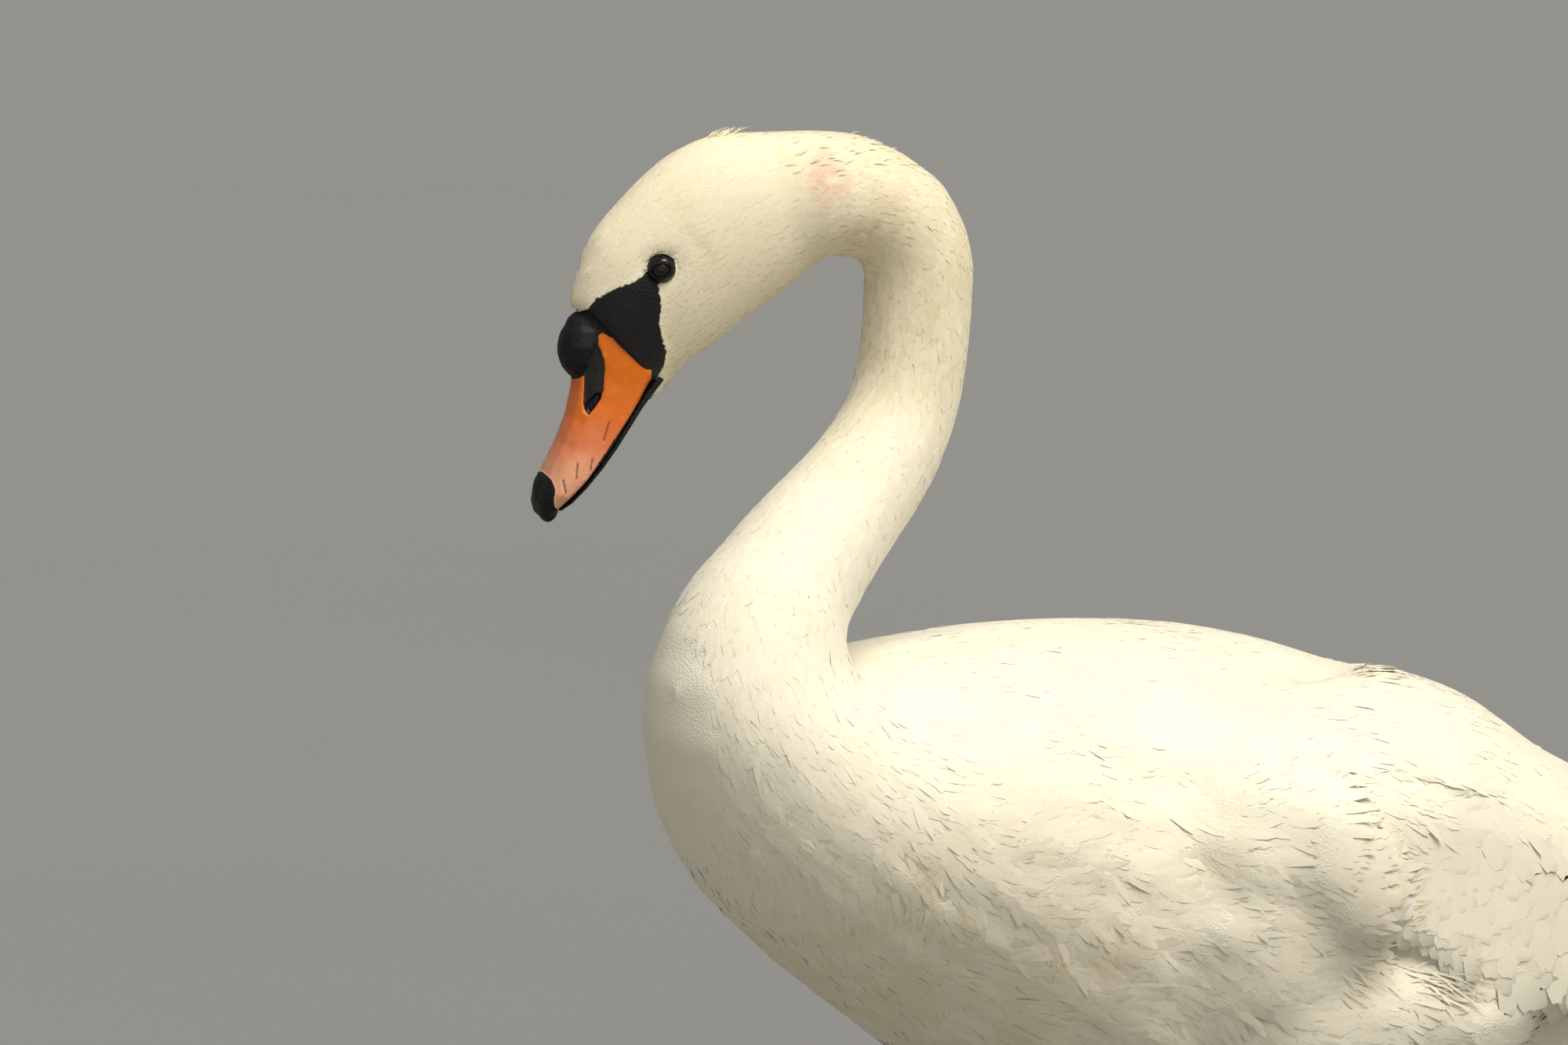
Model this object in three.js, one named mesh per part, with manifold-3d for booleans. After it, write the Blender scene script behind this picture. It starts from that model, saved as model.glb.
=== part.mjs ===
// Mute swan (Cygnus olor), an adult male standing on both feet. Its neck is drawn back in an S, its head is
// turned to its right and the bill points down. Millimetres, +Z up, the bird faces -Y, its left side is +X.
// Places are measured from the hollow where the nape meets the back; the last lines move the whole bird so
// that its origin is under the middle of its box, on the floor.
import * as THREE from "three";
import { mergeVertices } from "three/addons/utils/BufferGeometryUtils.js";
import Module from "manifold-3d";

const wasm = await Module();
wasm.setup();

// ---- driving dimensions, in mm ----
const BACK_HEIGHT = 475; // the hollow between nape and back, above the soles
const GAP = 0.3; // clearance between neighbouring pieces
const WING_GAP = 0.6; // clearance between the folded wings and the body
const HEAD_TURN = 28; // degrees that the head is turned to the bird's right
const TURN_AXIS = 50; // the upright axis of that turn, behind the hollow
const TURN_START = 85; // height above the hollow where the neck starts to turn
const TURN_END = 205; // height above the hollow where it has turned fully
const EYE = { diameter: 15, spread: 19.5, back: -84, height: 184 }; // spread is from the middle of the head
const KNOB = { back: -116.5, height: 146, lengthwise: 16, outward: 12.5, sideways: 12.5, tilt: 10 };
const NAIL = { back: -135.5, height: 74.5, lengthwise: 12, outward: 5.5, sideways: 9, tilt: -6 };
const LEG_SPREAD = 72; // each leg from the middle of the bird
const TOES_BACK = 318; // the roots of the toes behind the hollow
const ANKLE = { behind: 36, height: 124 }; // behind the roots of the toes, above the soles
const TOES = { inner: [108, -22], middle: [138, 6], outer: [128, 33] }; // length, degrees outward
const TOE_RADIUS = { root: 9.5, tip: 6, knuckle: 0.8 };
const CLAW = { length: 13, radius: 4.4 };
const WEB_THICKNESS = 2.4;

// How finely the rounded surfaces are faceted: points round a ring.
const SIDES = { head: 20, neck: 18, trunk: 20, tail: 16, bill: 14, lowerBill: 10, limb: 12, toe: 7, claw: 6 };
const BILL_SQUARENESS = 0.85; // of the bill's cross-sections, where 1 is an ellipse
const SHOULDER_SLOPE = 1.3; // of a wing's upper half, where 1 is an ellipse and more slopes away sooner

const { lerp, smoothstep, degToRad } = THREE.MathUtils;
const point = (x, y, z) => new THREE.Vector3(x, y, z);
const UP = point(0, 0, 1);

// ---- finishes ----
const finish = (color, roughness) => new THREE.MeshStandardMaterial({ color, roughness, metalness: 0 });
const materials = {
  plumage: () => finish(0xf1ead6, 0.85),
  bill: () => finish(0xe2712c, 0.45),
  blackSkin: () => finish(0x171514, 0.55),
  eye: () => finish(0x120c08, 0.1),
};

// ---- solids ----
// A closed geometry from rings of points, all with the same number of points, capped at both ends.
function hullOf(rings) {
  const sides = rings[0].length;
  const positions = rings.flat();
  const index = [];
  const cap = (ring, first, order) => {
    positions.push(ring.reduce((sum, p) => sum.add(p), point(0, 0, 0)).divideScalar(sides));
    const middle = positions.length - 1;
    for (let i = 0; i < sides; i++) {
      const edge = [first + i, first + ((i + 1) % sides)];
      index.push(middle, edge[order], edge[1 - order]);
    }
  };
  for (let r = 0; r + 1 < rings.length; r++) {
    for (let i = 0; i < sides; i++) {
      const a = r * sides + i;
      const b = r * sides + ((i + 1) % sides);
      index.push(a, b, b + sides, a, b + sides, a + sides);
    }
  }
  cap(rings[0], 0, 1);
  cap(rings.at(-1), (rings.length - 1) * sides, 0);
  return new THREE.BufferGeometry().setFromPoints(positions).setIndex(index);
}

// A manifold solid of a closed geometry, whichever way round its faces are.
function solidOf(geometry) {
  const bare = geometry.clone();
  bare.deleteAttribute("normal");
  bare.deleteAttribute("uv");
  const merged = mergeVertices(bare, 1e-4);
  const vertProperties = merged.attributes.position.array;
  const make = (triVerts) => new wasm.Manifold(new wasm.Mesh({ numProp: 3, vertProperties, triVerts }));
  const faces = new Uint32Array(merged.index.array);
  const made = make(faces);
  return made.volume() > 0 ? made : make(faces.reverse());
}

function geometryOf(solid) {
  const { numVert, numProp, vertProperties, triVerts } = solid.getMesh();
  const corners = new Float32Array(numVert * 3);
  for (let i = 0; i < numVert; i++) {
    corners.set(vertProperties.subarray(i * numProp, i * numProp + 3), i * 3);
  }
  const geometry = new THREE.BufferGeometry();
  geometry.setAttribute("position", new THREE.BufferAttribute(corners, 3));
  return geometry.setIndex(new THREE.BufferAttribute(triVerts, 1));
}

// The main body of a cut, without any crumb that the cut leaves.
const mainBody = (solid) => solid.decompose().sort((a, b) => b.volume() - a.volume())[0];

// A round ring of points about a middle, in the plane of two directions.
function roundRing(middle, across, upward, sides) {
  return Array.from({ length: sides }, (_, k) => {
    const angle = (2 * Math.PI * k) / sides;
    return middle.clone().addScaledVector(across, Math.cos(angle)).addScaledVector(upward, Math.sin(angle));
  });
}

// Each column of a table read at a place between its rows, along a smooth curve.
function tableAt(table, at) {
  return table[0].map((_, k) => {
    const curve = new THREE.CatmullRomCurve3(table.map((row, i) => point(i, row[k], 0)), false, "catmullrom");
    return curve.getPoint(at / (table.length - 1)).y;
  });
}

// ---- the bird's length in ribs, from the face to the tail ----
// A rib is one cross-section: [how far its upper or nape side is behind the hollow, and above it, the same
// for its lower or throat side, half its width, where it is widest as a share of the way down].
const HEAD_RIBS = [
  [-122, 171, -80, 125, 16.5, 0.55],
  [-115, 195, -68, 135, 21, 0.52],
  [-100, 213, -54, 144, 25.5, 0.52],
  [-78, 233, -39, 155, 28.5, 0.5],
  [-53, 244, -24, 165, 29, 0.48],
  [-29, 244.5, -9, 175, 27.5, 0.47],
];
// The neck as a round tube that gets thicker downward: [behind the hollow, above it, radius].
const NECK_LINE = [
  [-2, 213, 31.5],
  [20, 211, 29],
  [41, 199, 27],
  [49, 180, 26.5],
  [49, 160, 26],
  [47, 138, 26],
  [41, 114, 26.2],
  [26, 91, 27.7],
  [4, 71, 29.6],
  [-22, 51, 33],
  [-44, 30, 36.5],
];
const TRUNK_RIBS = [
  [-14, -7, -88, 42, 42, 0.5],
  [-9, -10, -109, 12, 46, 0.5],
  [-2, -10, -115, -24, 56, 0.5],
  [8, -8, -103, -62, 68, 0.5],
  [19, -5, -80, -104, 83, 0.5],
  [36, -3, -38, -145, 98, 0.5],
  [62, -3, 20, -187, 112, 0.48],
  [105, -3, 89, -234, 122, 0.48],
  [165, -6, 167, -282, 131, 0.5],
  [235, -16, 248, -318, 137, 0.52],
  [305, -35, 325, -332, 136, 0.54],
  [375, -66, 405, -320, 128, 0.56],
  [440, -101, 472, -290, 109, 0.56],
  [500, -136, 526, -258, 85, 0.54],
  [550, -158, 570, -232, 64, 0.5],
];
const TAIL_RIBS = [
  [600, -170, 612, -214, 54, 0.4],
  [645, -178, 651, -205, 64, 0.35],
  [690, -184, 692, -200, 67, 0.35],
  [730, -188, 731, -198, 54, 0.4],
  [762, -192, 762, -199, 31, 0.4],
  [786, -195, 786, -199, 9, 0.5],
];
const neckStart = HEAD_RIBS.length;
const trunkStart = neckStart + NECK_LINE.length;
const tailStart = trunkStart + TRUNK_RIBS.length;
// The rib numbers where one length ends and the next begins.
const CUTS = {
  face: 0,
  throat: neckStart - 0.5,
  midNeck: neckStart + 5,
  lowNeck: neckStart + 8,
  breast: trunkStart,
  rump: tailStart,
  tailTip: tailStart + TAIL_RIBS.length - 1,
};

function neckRibs() {
  const centre = new THREE.CatmullRomCurve3(NECK_LINE.map(([y, z]) => point(0, y, z)), false, "centripetal");
  return NECK_LINE.map(([y, z, radius], i) => {
    const ahead = centre.getTangent(i / (NECK_LINE.length - 1));
    const nape = point(0, -ahead.z, ahead.y).multiplyScalar(radius);
    return [y + nape.y, z + nape.z, y - nape.y, z - nape.z, radius, 0.5];
  });
}
const LENGTH_RIBS = [...HEAD_RIBS, ...neckRibs(), ...TRUNK_RIBS, ...TAIL_RIBS];

// Turns a point of the neck or head about the upright axis by a share of the head's turn.
function turned(p, share) {
  const axis = point(0, TURN_AXIS, 0);
  return p.clone().sub(axis).applyAxisAngle(UP, -degToRad(HEAD_TURN) * share).add(axis);
}
const headTurn = () => 1;
const neckTurn = (rib, at) => (at < neckStart ? 1 : smoothstep((rib[1] + rib[3]) / 2, TURN_START, TURN_END));

// The closed ring of points of a rib, grown outward and shifted along the bird.
function ribRing(rib, sides, { grow, shift, squareness }) {
  const [upperY, upperZ, lowerY, lowerZ, half, widest] = rib;
  const upper = point(0, upperY, BACK_HEIGHT + upperZ);
  const lower = point(0, lowerY, BACK_HEIGHT + lowerZ);
  const down = lower.clone().sub(upper).normalize();
  const along = point(0, -down.z, down.y).multiplyScalar(shift);
  upper.addScaledVector(down, -grow).add(along);
  lower.addScaledVector(down, grow).add(along);
  return roundRing(point(0, 0, 0), point(0, 1, 0), point(1, 0, 0), sides).map((p) => {
    const height = Math.sign(p.y) * Math.abs(p.y) ** squareness;
    const out = Math.sign(p.x) * Math.abs(p.x) ** squareness;
    const level = height > 0 ? widest * (1 - height) : widest - (1 - widest) * height;
    return upper.clone().lerp(lower, level).setX(out * (half + grow));
  });
}

// A solid through the ribs from one place in a table to another. inset draws both ends in.
function runOf(ribs, from, to, count, sides, { grow = 0, inset = 0, squareness = 1, turn = headTurn }) {
  const rings = Array.from({ length: count }, (_, i) => {
    const at = lerp(from, to, i / (count - 1));
    const rib = tableAt(ribs, at);
    const shift = i === 0 ? inset : i === count - 1 ? -inset : 0;
    return ribRing(rib, sides, { grow, shift, squareness }).map((p) => turned(p, turn(rib, at)));
  });
  return solidOf(hullOf(rings));
}

// The lengths, each also grown by a clearance for cutting its neighbours.
function lengthOf(from, to, count, sides, grow = 0) {
  return runOf(LENGTH_RIBS, from, to, count, sides, { grow, inset: GAP / 2 - grow, turn: neckTurn });
}
const headAt = (grow) => lengthOf(CUTS.face, CUTS.throat, 10, SIDES.head, grow);
const trunkAt = (grow) => lengthOf(CUTS.breast, CUTS.rump, 21, SIDES.trunk, grow);
const tailAt = (grow) => lengthOf(CUTS.rump, CUTS.tailTip, 9, SIDES.tail, grow);

// ---- bill ----
const UPPER_BILL_RIBS = [
  [-118.5, 168, -84, 131, 15, 0.86],
  [-121.5, 152, -88, 126, 15.5, 0.86],
  [-122, 137, -92, 119, 15.5, 0.86],
  [-123.5, 122, -98.5, 108.5, 16, 0.84],
  [-127.5, 107, -106.5, 96.5, 16.5, 0.82],
  [-133.5, 94, -115, 86, 17.5, 0.78],
  [-139, 82, -124, 77, 17.5, 0.7],
  [-141, 73, -131, 70, 14, 0.6],
  [-140, 67, -135.5, 66, 8, 0.5],
];
const LOWER_BILL_RIBS = [
  [-88, 127, -82.5, 123.5, 12.5, 0.35],
  [-95, 117.5, -90, 115, 13.5, 0.35],
  [-102, 106, -97.5, 103.8, 14, 0.35],
  [-110, 94.5, -106, 92.2, 14.5, 0.35],
  [-118, 84, -115, 81.8, 14.5, 0.35],
  [-126, 74.5, -123.8, 72.6, 12.5, 0.35],
  [-131, 69.5, -129.8, 67.8, 8.5, 0.35],
];

function upperBillAt(grow) {
  const shape = { grow, inset: -grow, squareness: BILL_SQUARENESS };
  return runOf(UPPER_BILL_RIBS, 0, UPPER_BILL_RIBS.length - 1, 10, SIDES.bill, shape);
}

// An egg in the middle plane of the head, its lower end tilted forward by degrees.
function eggOf({ back, height, lengthwise, outward, sideways, tilt }, grow = 0) {
  const egg = new THREE.SphereGeometry(1, 12, 8);
  egg.scale(sideways + grow, outward + grow, lengthwise + grow);
  egg.rotateX(-degToRad(tilt));
  egg.translate(0, back - TURN_AXIS, BACK_HEIGHT + height);
  egg.rotateZ(-degToRad(HEAD_TURN));
  egg.translate(0, TURN_AXIS, 0);
  return solidOf(egg);
}

function billPieces() {
  const head = headAt(GAP);
  const grownNail = eggOf(NAIL, GAP);
  const grownUpper = upperBillAt(GAP);
  const lower = runOf(LOWER_BILL_RIBS, 0, LOWER_BILL_RIBS.length - 1, 8, SIDES.lowerBill, {});
  return {
    bill_upper: mainBody(upperBillAt(0).subtract(head).subtract(grownNail)),
    bill_lower: mainBody(lower.subtract(head).subtract(grownUpper).subtract(grownNail)),
    bill_knob: mainBody(eggOf(KNOB).subtract(head).subtract(grownUpper)),
    bill_nail: eggOf(NAIL),
  };
}

// ---- eyes ----
function eyeAt(side, grow = 0) {
  const ball = new THREE.SphereGeometry(EYE.diameter / 2 + grow, 12, 8);
  ball.translate(...turned(point(side * EYE.spread, EYE.back, BACK_HEIGHT + EYE.height), 1));
  return solidOf(ball);
}

// ---- wings ----
// Cross-sections of the folded left wing, across the bird: [distance behind the hollow, then sideways and
// height of its upper edge, of its widest place and of its lower edge, then its thickness].
const WING_RIBS = [
  [172, 128, -86, 142, -100, 140, -118, 8],
  [184, 117, -64, 156, -100, 153, -138, 24],
  [206, 102, -44, 164, -98, 160, -151, 34],
  [236, 86, -32, 166, -100, 161, -156, 36],
  [275, 66, -30, 166, -108, 160, -180, 36],
  [330, 42, -44, 163, -120, 156, -203, 36],
  [395, 22, -77, 154, -138, 144, -212, 34],
  [460, 12, -107, 135, -155, 124, -211, 32],
  [510, 7, -138, 114, -168, 104, -207, 28],
  [560, 5, -155, 90, -177, 80, -203, 23],
  [610, 4, -160, 65, -182, 57, -198, 15],
  [655, 5, -168, 44, -184, 38, -195, 10],
  [705, 9, -178, 26, -185, 22, -191, 4],
];
const WING_CUTS = { wrist: 0, flight: 5.4, primaries: 9.4, tip: WING_RIBS.length - 1 };
const ARC_STEPS = 5; // points along each half of a wing's outer arc

function wingRing(rib, side, shift) {
  const [back, upperX, upperZ, wideX, wideZ, lowerX, lowerZ, thickness] = rib;
  const outer = Array.from({ length: 2 * ARC_STEPS + 1 }, (_, i) => {
    const angle = (Math.abs(i - ARC_STEPS) / ARC_STEPS) * (Math.PI / 2);
    const [edgeX, edgeZ, slope] = i < ARC_STEPS ? [upperX, upperZ, SHOULDER_SLOPE] : [lowerX, lowerZ, 1];
    return [edgeX + (wideX - edgeX) * Math.cos(angle), wideZ + (edgeZ - wideZ) * Math.sin(angle) ** slope];
  });
  const inner = outer.slice(1, -1).map(([x, z], i) => {
    const depth = thickness * Math.sqrt(Math.sin((Math.PI * (i + 1)) / (outer.length - 1)));
    const inward = point(upperX / 2 - x, 0, lowerZ - z).setLength(depth);
    return [x + inward.x, z + inward.z];
  });
  return [...outer, ...inner.reverse()].map(([x, z]) => point(side * x, back + shift, BACK_HEIGHT + z));
}

function wingPart(side, from, to, count) {
  const rings = Array.from({ length: count }, (_, i) => {
    const shift = i === 0 ? GAP / 2 : i === count - 1 ? -GAP / 2 : 0;
    return wingRing(tableAt(WING_RIBS, lerp(from, to, i / (count - 1))), side, shift);
  });
  return mainBody(solidOf(hullOf(rings)).subtract(trunkAt(WING_GAP)).subtract(tailAt(WING_GAP)));
}

// ---- legs ----
// Each limb down its length as [distance behind the hollow, height above the soles, half width, half depth].
const ankle = [TOES_BACK + ANKLE.behind, ANKLE.height];
const THIGH = [
  [ankle[0] - 52, ankle[1] + 98, 34, 46],
  [ankle[0] - 38, ankle[1] + 68, 32, 42],
  [ankle[0] - 22, ankle[1] + 41, 25, 31],
  [ankle[0] - 8, ankle[1] + 19, 16, 19],
  [ankle[0] - 1, ankle[1] + 9, 11.5, 13],
];
const SHANK = [
  [ankle[0] - 0.5, ankle[1] + 8.5, 10, 11.5],
  [ankle[0] + 1, ankle[1], 11.5, 13],
  [ankle[0] - 2, ankle[1] - 14, 9, 11],
  [ankle[0] - 12, 80, 7.5, 9.5],
  [TOES_BACK + 11, 46, 8, 10],
  [TOES_BACK + 4, 27, 9.5, 11],
];
const HIND_TOE = [
  [TOES_BACK + 5, 24, 5.5, 6],
  [TOES_BACK + 17, 19, 5, 5.5],
  [TOES_BACK + 29, 11, 4.2, 4.6],
  [TOES_BACK + 35, 6.5, 2.6, 3],
];

function limb(line, side, count, grow = 0) {
  const centre = new THREE.CatmullRomCurve3(line.map(([y, z]) => point(side * LEG_SPREAD, y, z)));
  const rings = Array.from({ length: count }, (_, i) => {
    const t = i / (count - 1);
    const [, , half, deep] = tableAt(line, t * (line.length - 1));
    const ahead = centre.getTangent(t);
    const fore = point(0, -ahead.z, ahead.y).multiplyScalar(deep + grow);
    return roundRing(centre.getPoint(t), fore, point(half + grow, 0, 0), SIDES.limb);
  });
  return solidOf(hullOf(rings));
}
const shankAt = (side, grow) => limb(SHANK, side, 9, grow);
const thighOf = (side) => mainBody(limb(THIGH, side, 7).subtract(trunkAt(GAP)).subtract(shankAt(side, GAP)));

// ---- feet ----
// A place on the floor along a toe, as a share of its length.
function onToe(name, side, share) {
  const [length, outward] = TOES[name];
  const angle = degToRad(outward);
  const reach = length * share;
  return point(side * (LEG_SPREAD + Math.sin(angle) * reach), TOES_BACK - Math.cos(angle) * reach, 0);
}

// The directions of a toe along the floor and across it.
function toeFrame(name, side) {
  const ahead = onToe(name, side, 1).sub(onToe(name, side, 0)).normalize();
  return { ahead, across: point(-ahead.y, ahead.x, 0) };
}

// A toe lying on the floor, with a knuckle at each joint; the floor later flattens it underneath.
function toeOf(name, side) {
  const count = 6;
  const { across } = toeFrame(name, side);
  const rings = Array.from({ length: count }, (_, i) => {
    const t = i / (count - 1);
    const knuckle = TOE_RADIUS.knuckle * Math.cos(t * Math.PI * (count - 1));
    const radius = lerp(TOE_RADIUS.root, TOE_RADIUS.tip, t) + knuckle;
    const middle = onToe(name, side, t).setZ(radius * 0.72);
    return roundRing(middle, across.clone().multiplyScalar(radius), point(0, 0, radius), SIDES.toe);
  });
  return solidOf(hullOf(rings));
}

// A claw set into the toe's end and curving down to the floor.
function clawOf(name, side, grow = 0) {
  const count = 4;
  const { ahead, across } = toeFrame(name, side);
  const rings = Array.from({ length: count }, (_, i) => {
    const t = i / (count - 1);
    const radius = CLAW.radius * (1 - 0.85 * t ** 1.4) + grow;
    const reach = lerp(-2 - grow, CLAW.length, t);
    const height = CLAW.radius * 1.25 * (1 - t * t) + 0.8;
    const middle = onToe(name, side, 1).addScaledVector(ahead, reach).setZ(height);
    return roundRing(middle, across.clone().multiplyScalar(radius * 0.8), point(0, 0, radius), SIDES.claw);
  });
  return solidOf(hullOf(rings));
}

// The flat web between the toes, its front edges hollowed between their tips.
function webOf(side) {
  const edge = 0.97; // how far along the toes it reaches
  const hollow = 0.8; // how far along them its hollows are drawn towards
  const flat = (p) => [p.x, p.y];
  const between = (a, b) => flat(onToe(a, side, hollow).lerp(onToe(b, side, hollow), 0.5));
  const outline = new THREE.Shape();
  outline.moveTo(...flat(onToe("middle", side, -0.08)));
  outline.lineTo(...flat(onToe("outer", side, edge)));
  outline.quadraticCurveTo(...between("outer", "middle"), ...flat(onToe("middle", side, edge)));
  outline.quadraticCurveTo(...between("middle", "inner"), ...flat(onToe("inner", side, edge)));
  outline.closePath();
  const flatWeb = { depth: WEB_THICKNESS, bevelEnabled: false, curveSegments: 5 };
  return solidOf(new THREE.ExtrudeGeometry(outline, flatWeb));
}

// The ball of the foot under the shank.
function palmOf(side) {
  const palm = new THREE.SphereGeometry(1, 10, 6);
  palm.scale(13, 19, 17);
  palm.translate(side * LEG_SPREAD, TOES_BACK, 11);
  return solidOf(palm);
}

// The space under the floor, which cuts the soles flat.
function underFloor(side) {
  const depth = 400;
  const block = new THREE.BoxGeometry(depth, depth, depth);
  block.translate(side * LEG_SPREAD, TOES_BACK, -depth / 2);
  return solidOf(block);
}

function footOf(side) {
  const names = Object.keys(TOES);
  const webbed = palmOf(side).add(webOf(side)).add(limb(HIND_TOE, side, 5));
  const whole = names.reduce((foot, name) => foot.add(toeOf(name, side)), webbed);
  const clawless = names.reduce((foot, name) => foot.subtract(clawOf(name, side, GAP)), whole);
  return mainBody(clawless.subtract(underFloor(side)).subtract(shankAt(side, GAP)));
}

// ---- assembly ----
const group = new THREE.Group();
function add(name, solid, material) {
  const mesh = new THREE.Mesh(geometryOf(solid), material());
  mesh.name = name;
  group.add(mesh);
}
const FLANKS = { left: 1, right: -1 };

const socketed = Object.values(FLANKS).reduce((head, side) => head.subtract(eyeAt(side, GAP)), headAt(0));
add("head", mainBody(socketed), materials.plumage);
for (const [name, solid] of Object.entries(billPieces())) {
  add(name, solid, name === "bill_upper" ? materials.bill : materials.blackSkin);
}
add("neck_upper", lengthOf(CUTS.throat, CUTS.midNeck, 10, SIDES.neck), materials.plumage);
add("neck_middle", lengthOf(CUTS.midNeck, CUTS.lowNeck, 6, SIDES.neck), materials.plumage);
add("neck_lower", lengthOf(CUTS.lowNeck, CUTS.breast, 6, SIDES.neck), materials.plumage);
add("trunk", trunkAt(0), materials.plumage);
add("tail", tailAt(0), materials.plumage);
for (const [name, side] of Object.entries(FLANKS)) {
  add(`eye_${name}`, eyeAt(side), materials.eye);
  add(`wing_${name}`, wingPart(side, WING_CUTS.wrist, WING_CUTS.flight, 11), materials.plumage);
  add(`flight_${name}`, wingPart(side, WING_CUTS.flight, WING_CUTS.primaries, 7), materials.plumage);
  add(`primaries_${name}`, wingPart(side, WING_CUTS.primaries, WING_CUTS.tip, 6), materials.plumage);
  add(`thigh_${name}`, thighOf(side), materials.plumage);
  add(`shank_${name}`, shankAt(side, 0), materials.blackSkin);
  add(`foot_${name}`, footOf(side), materials.blackSkin);
  for (const toe of Object.keys(TOES)) add(`claw_${name}_${toe}`, clawOf(toe, side), materials.blackSkin);
}

const box = new THREE.Box3().setFromObject(group);
const middle = box.getCenter(point(0, 0, 0));
for (const mesh of group.children) mesh.position.set(-middle.x, -middle.y, -box.min.z);
export default group;
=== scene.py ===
import math

import bmesh
import bpy
import numpy as np
from mathutils import Matrix, Vector
from mathutils.bvhtree import BVHTree
from mathutils.kdtree import KDTree


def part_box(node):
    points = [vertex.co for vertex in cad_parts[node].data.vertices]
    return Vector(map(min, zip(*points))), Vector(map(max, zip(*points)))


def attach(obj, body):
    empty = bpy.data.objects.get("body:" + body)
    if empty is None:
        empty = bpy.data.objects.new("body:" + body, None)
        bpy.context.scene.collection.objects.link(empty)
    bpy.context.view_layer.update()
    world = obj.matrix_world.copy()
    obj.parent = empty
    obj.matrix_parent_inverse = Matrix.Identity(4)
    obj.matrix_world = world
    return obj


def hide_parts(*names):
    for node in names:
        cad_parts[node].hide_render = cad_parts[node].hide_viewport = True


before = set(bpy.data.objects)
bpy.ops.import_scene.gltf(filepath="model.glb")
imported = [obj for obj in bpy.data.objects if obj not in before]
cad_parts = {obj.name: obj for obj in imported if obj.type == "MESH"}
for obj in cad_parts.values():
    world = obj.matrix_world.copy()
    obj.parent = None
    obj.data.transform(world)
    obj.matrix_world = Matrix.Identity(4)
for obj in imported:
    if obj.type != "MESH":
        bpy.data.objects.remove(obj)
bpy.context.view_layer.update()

scene = bpy.context.scene

# bird millimetres start at the hollow where nape meets back
bird = {"backHeight": 475, "headTurn": 28, "turnAxis": 50, "turnFrom": 85, "turnTo": 205}
eyeball = {"radius": 7.5, "spread": 19.5, "back": -84, "height": 184, "axis": (0.94, -0.3, 0.02)}


def smoothstep(low, high, x):
    t = np.clip((np.asarray(x, float) - low) / (high - low), 0, 1)
    return t * t * (3 - 2 * t)


def turnHead(p, share=1.0, way=-1):
    p = np.asarray(p, float)
    angle = way * math.radians(bird["headTurn"]) * np.asarray(share, float)
    c, s = np.cos(angle), np.sin(angle)
    x, y = p[..., 0], p[..., 1] - bird["turnAxis"]
    return np.stack([c * x - s * y, s * x + c * y + bird["turnAxis"], p[..., 2]], -1)


eyeLow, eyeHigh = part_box("eye_left")
eyeMiddle = turnHead([eyeball["spread"], eyeball["back"], eyeball["height"] + bird["backHeight"]])
hollow = (np.array(eyeLow) + np.array(eyeHigh)) / 2 - eyeMiddle / 1000 + [0, 0, bird["backHeight"] / 1000]


def toRoom(p):
    return np.asarray(p, float) / 1000 + hollow


def toBird(p):
    return (np.asarray(p, float) - hollow) * 1000


def toFace(p):  # bird millimetres with the head turned straight ahead
    return turnHead(toBird(p), way=1)


def unit(v):
    return v / np.maximum(np.linalg.norm(v, axis=-1, keepdims=True), 1e-12)


def linear(r, g, b):
    return tuple(((c / 255 + 0.055) / 1.055) ** 2.4 if c > 10 else c / 255 / 12.92 for c in (r, g, b)) + (1.0,)


socketNames = {
    "baseColor": "Base Color", "roughness": "Roughness", "normal": "Normal",
    "specular": "Specular IOR Level", "coat": "Coat Weight", "coatRoughness": "Coat Roughness",
    "sheen": "Sheen Weight", "sheenRoughness": "Sheen Roughness",
}


class Wire:
    # a socket that can be used in sums
    def __init__(self, finish, socket):
        self.finish, self.socket = finish, socket

    def maths(self, operation, other, flip=False):
        first, second = (other, self) if flip else (self, other)
        return self.finish.node("Math", {"operation": operation}, {0: first, 1: second})

    def __add__(self, other):
        return self.maths("ADD", other)

    def __radd__(self, other):
        return self.maths("ADD", other, True)

    def __sub__(self, other):
        return self.maths("SUBTRACT", other)

    def __rsub__(self, other):
        return self.maths("SUBTRACT", other, True)

    def __mul__(self, other):
        return self.maths("MULTIPLY", other)

    def __rmul__(self, other):
        return self.maths("MULTIPLY", other, True)

    def between(self, low, high):
        values = {"Value": self, "From Min": low, "From Max": high}
        return self.finish.node("MapRange", {"interpolation_type": "SMOOTHSTEP"}, values)


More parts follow.
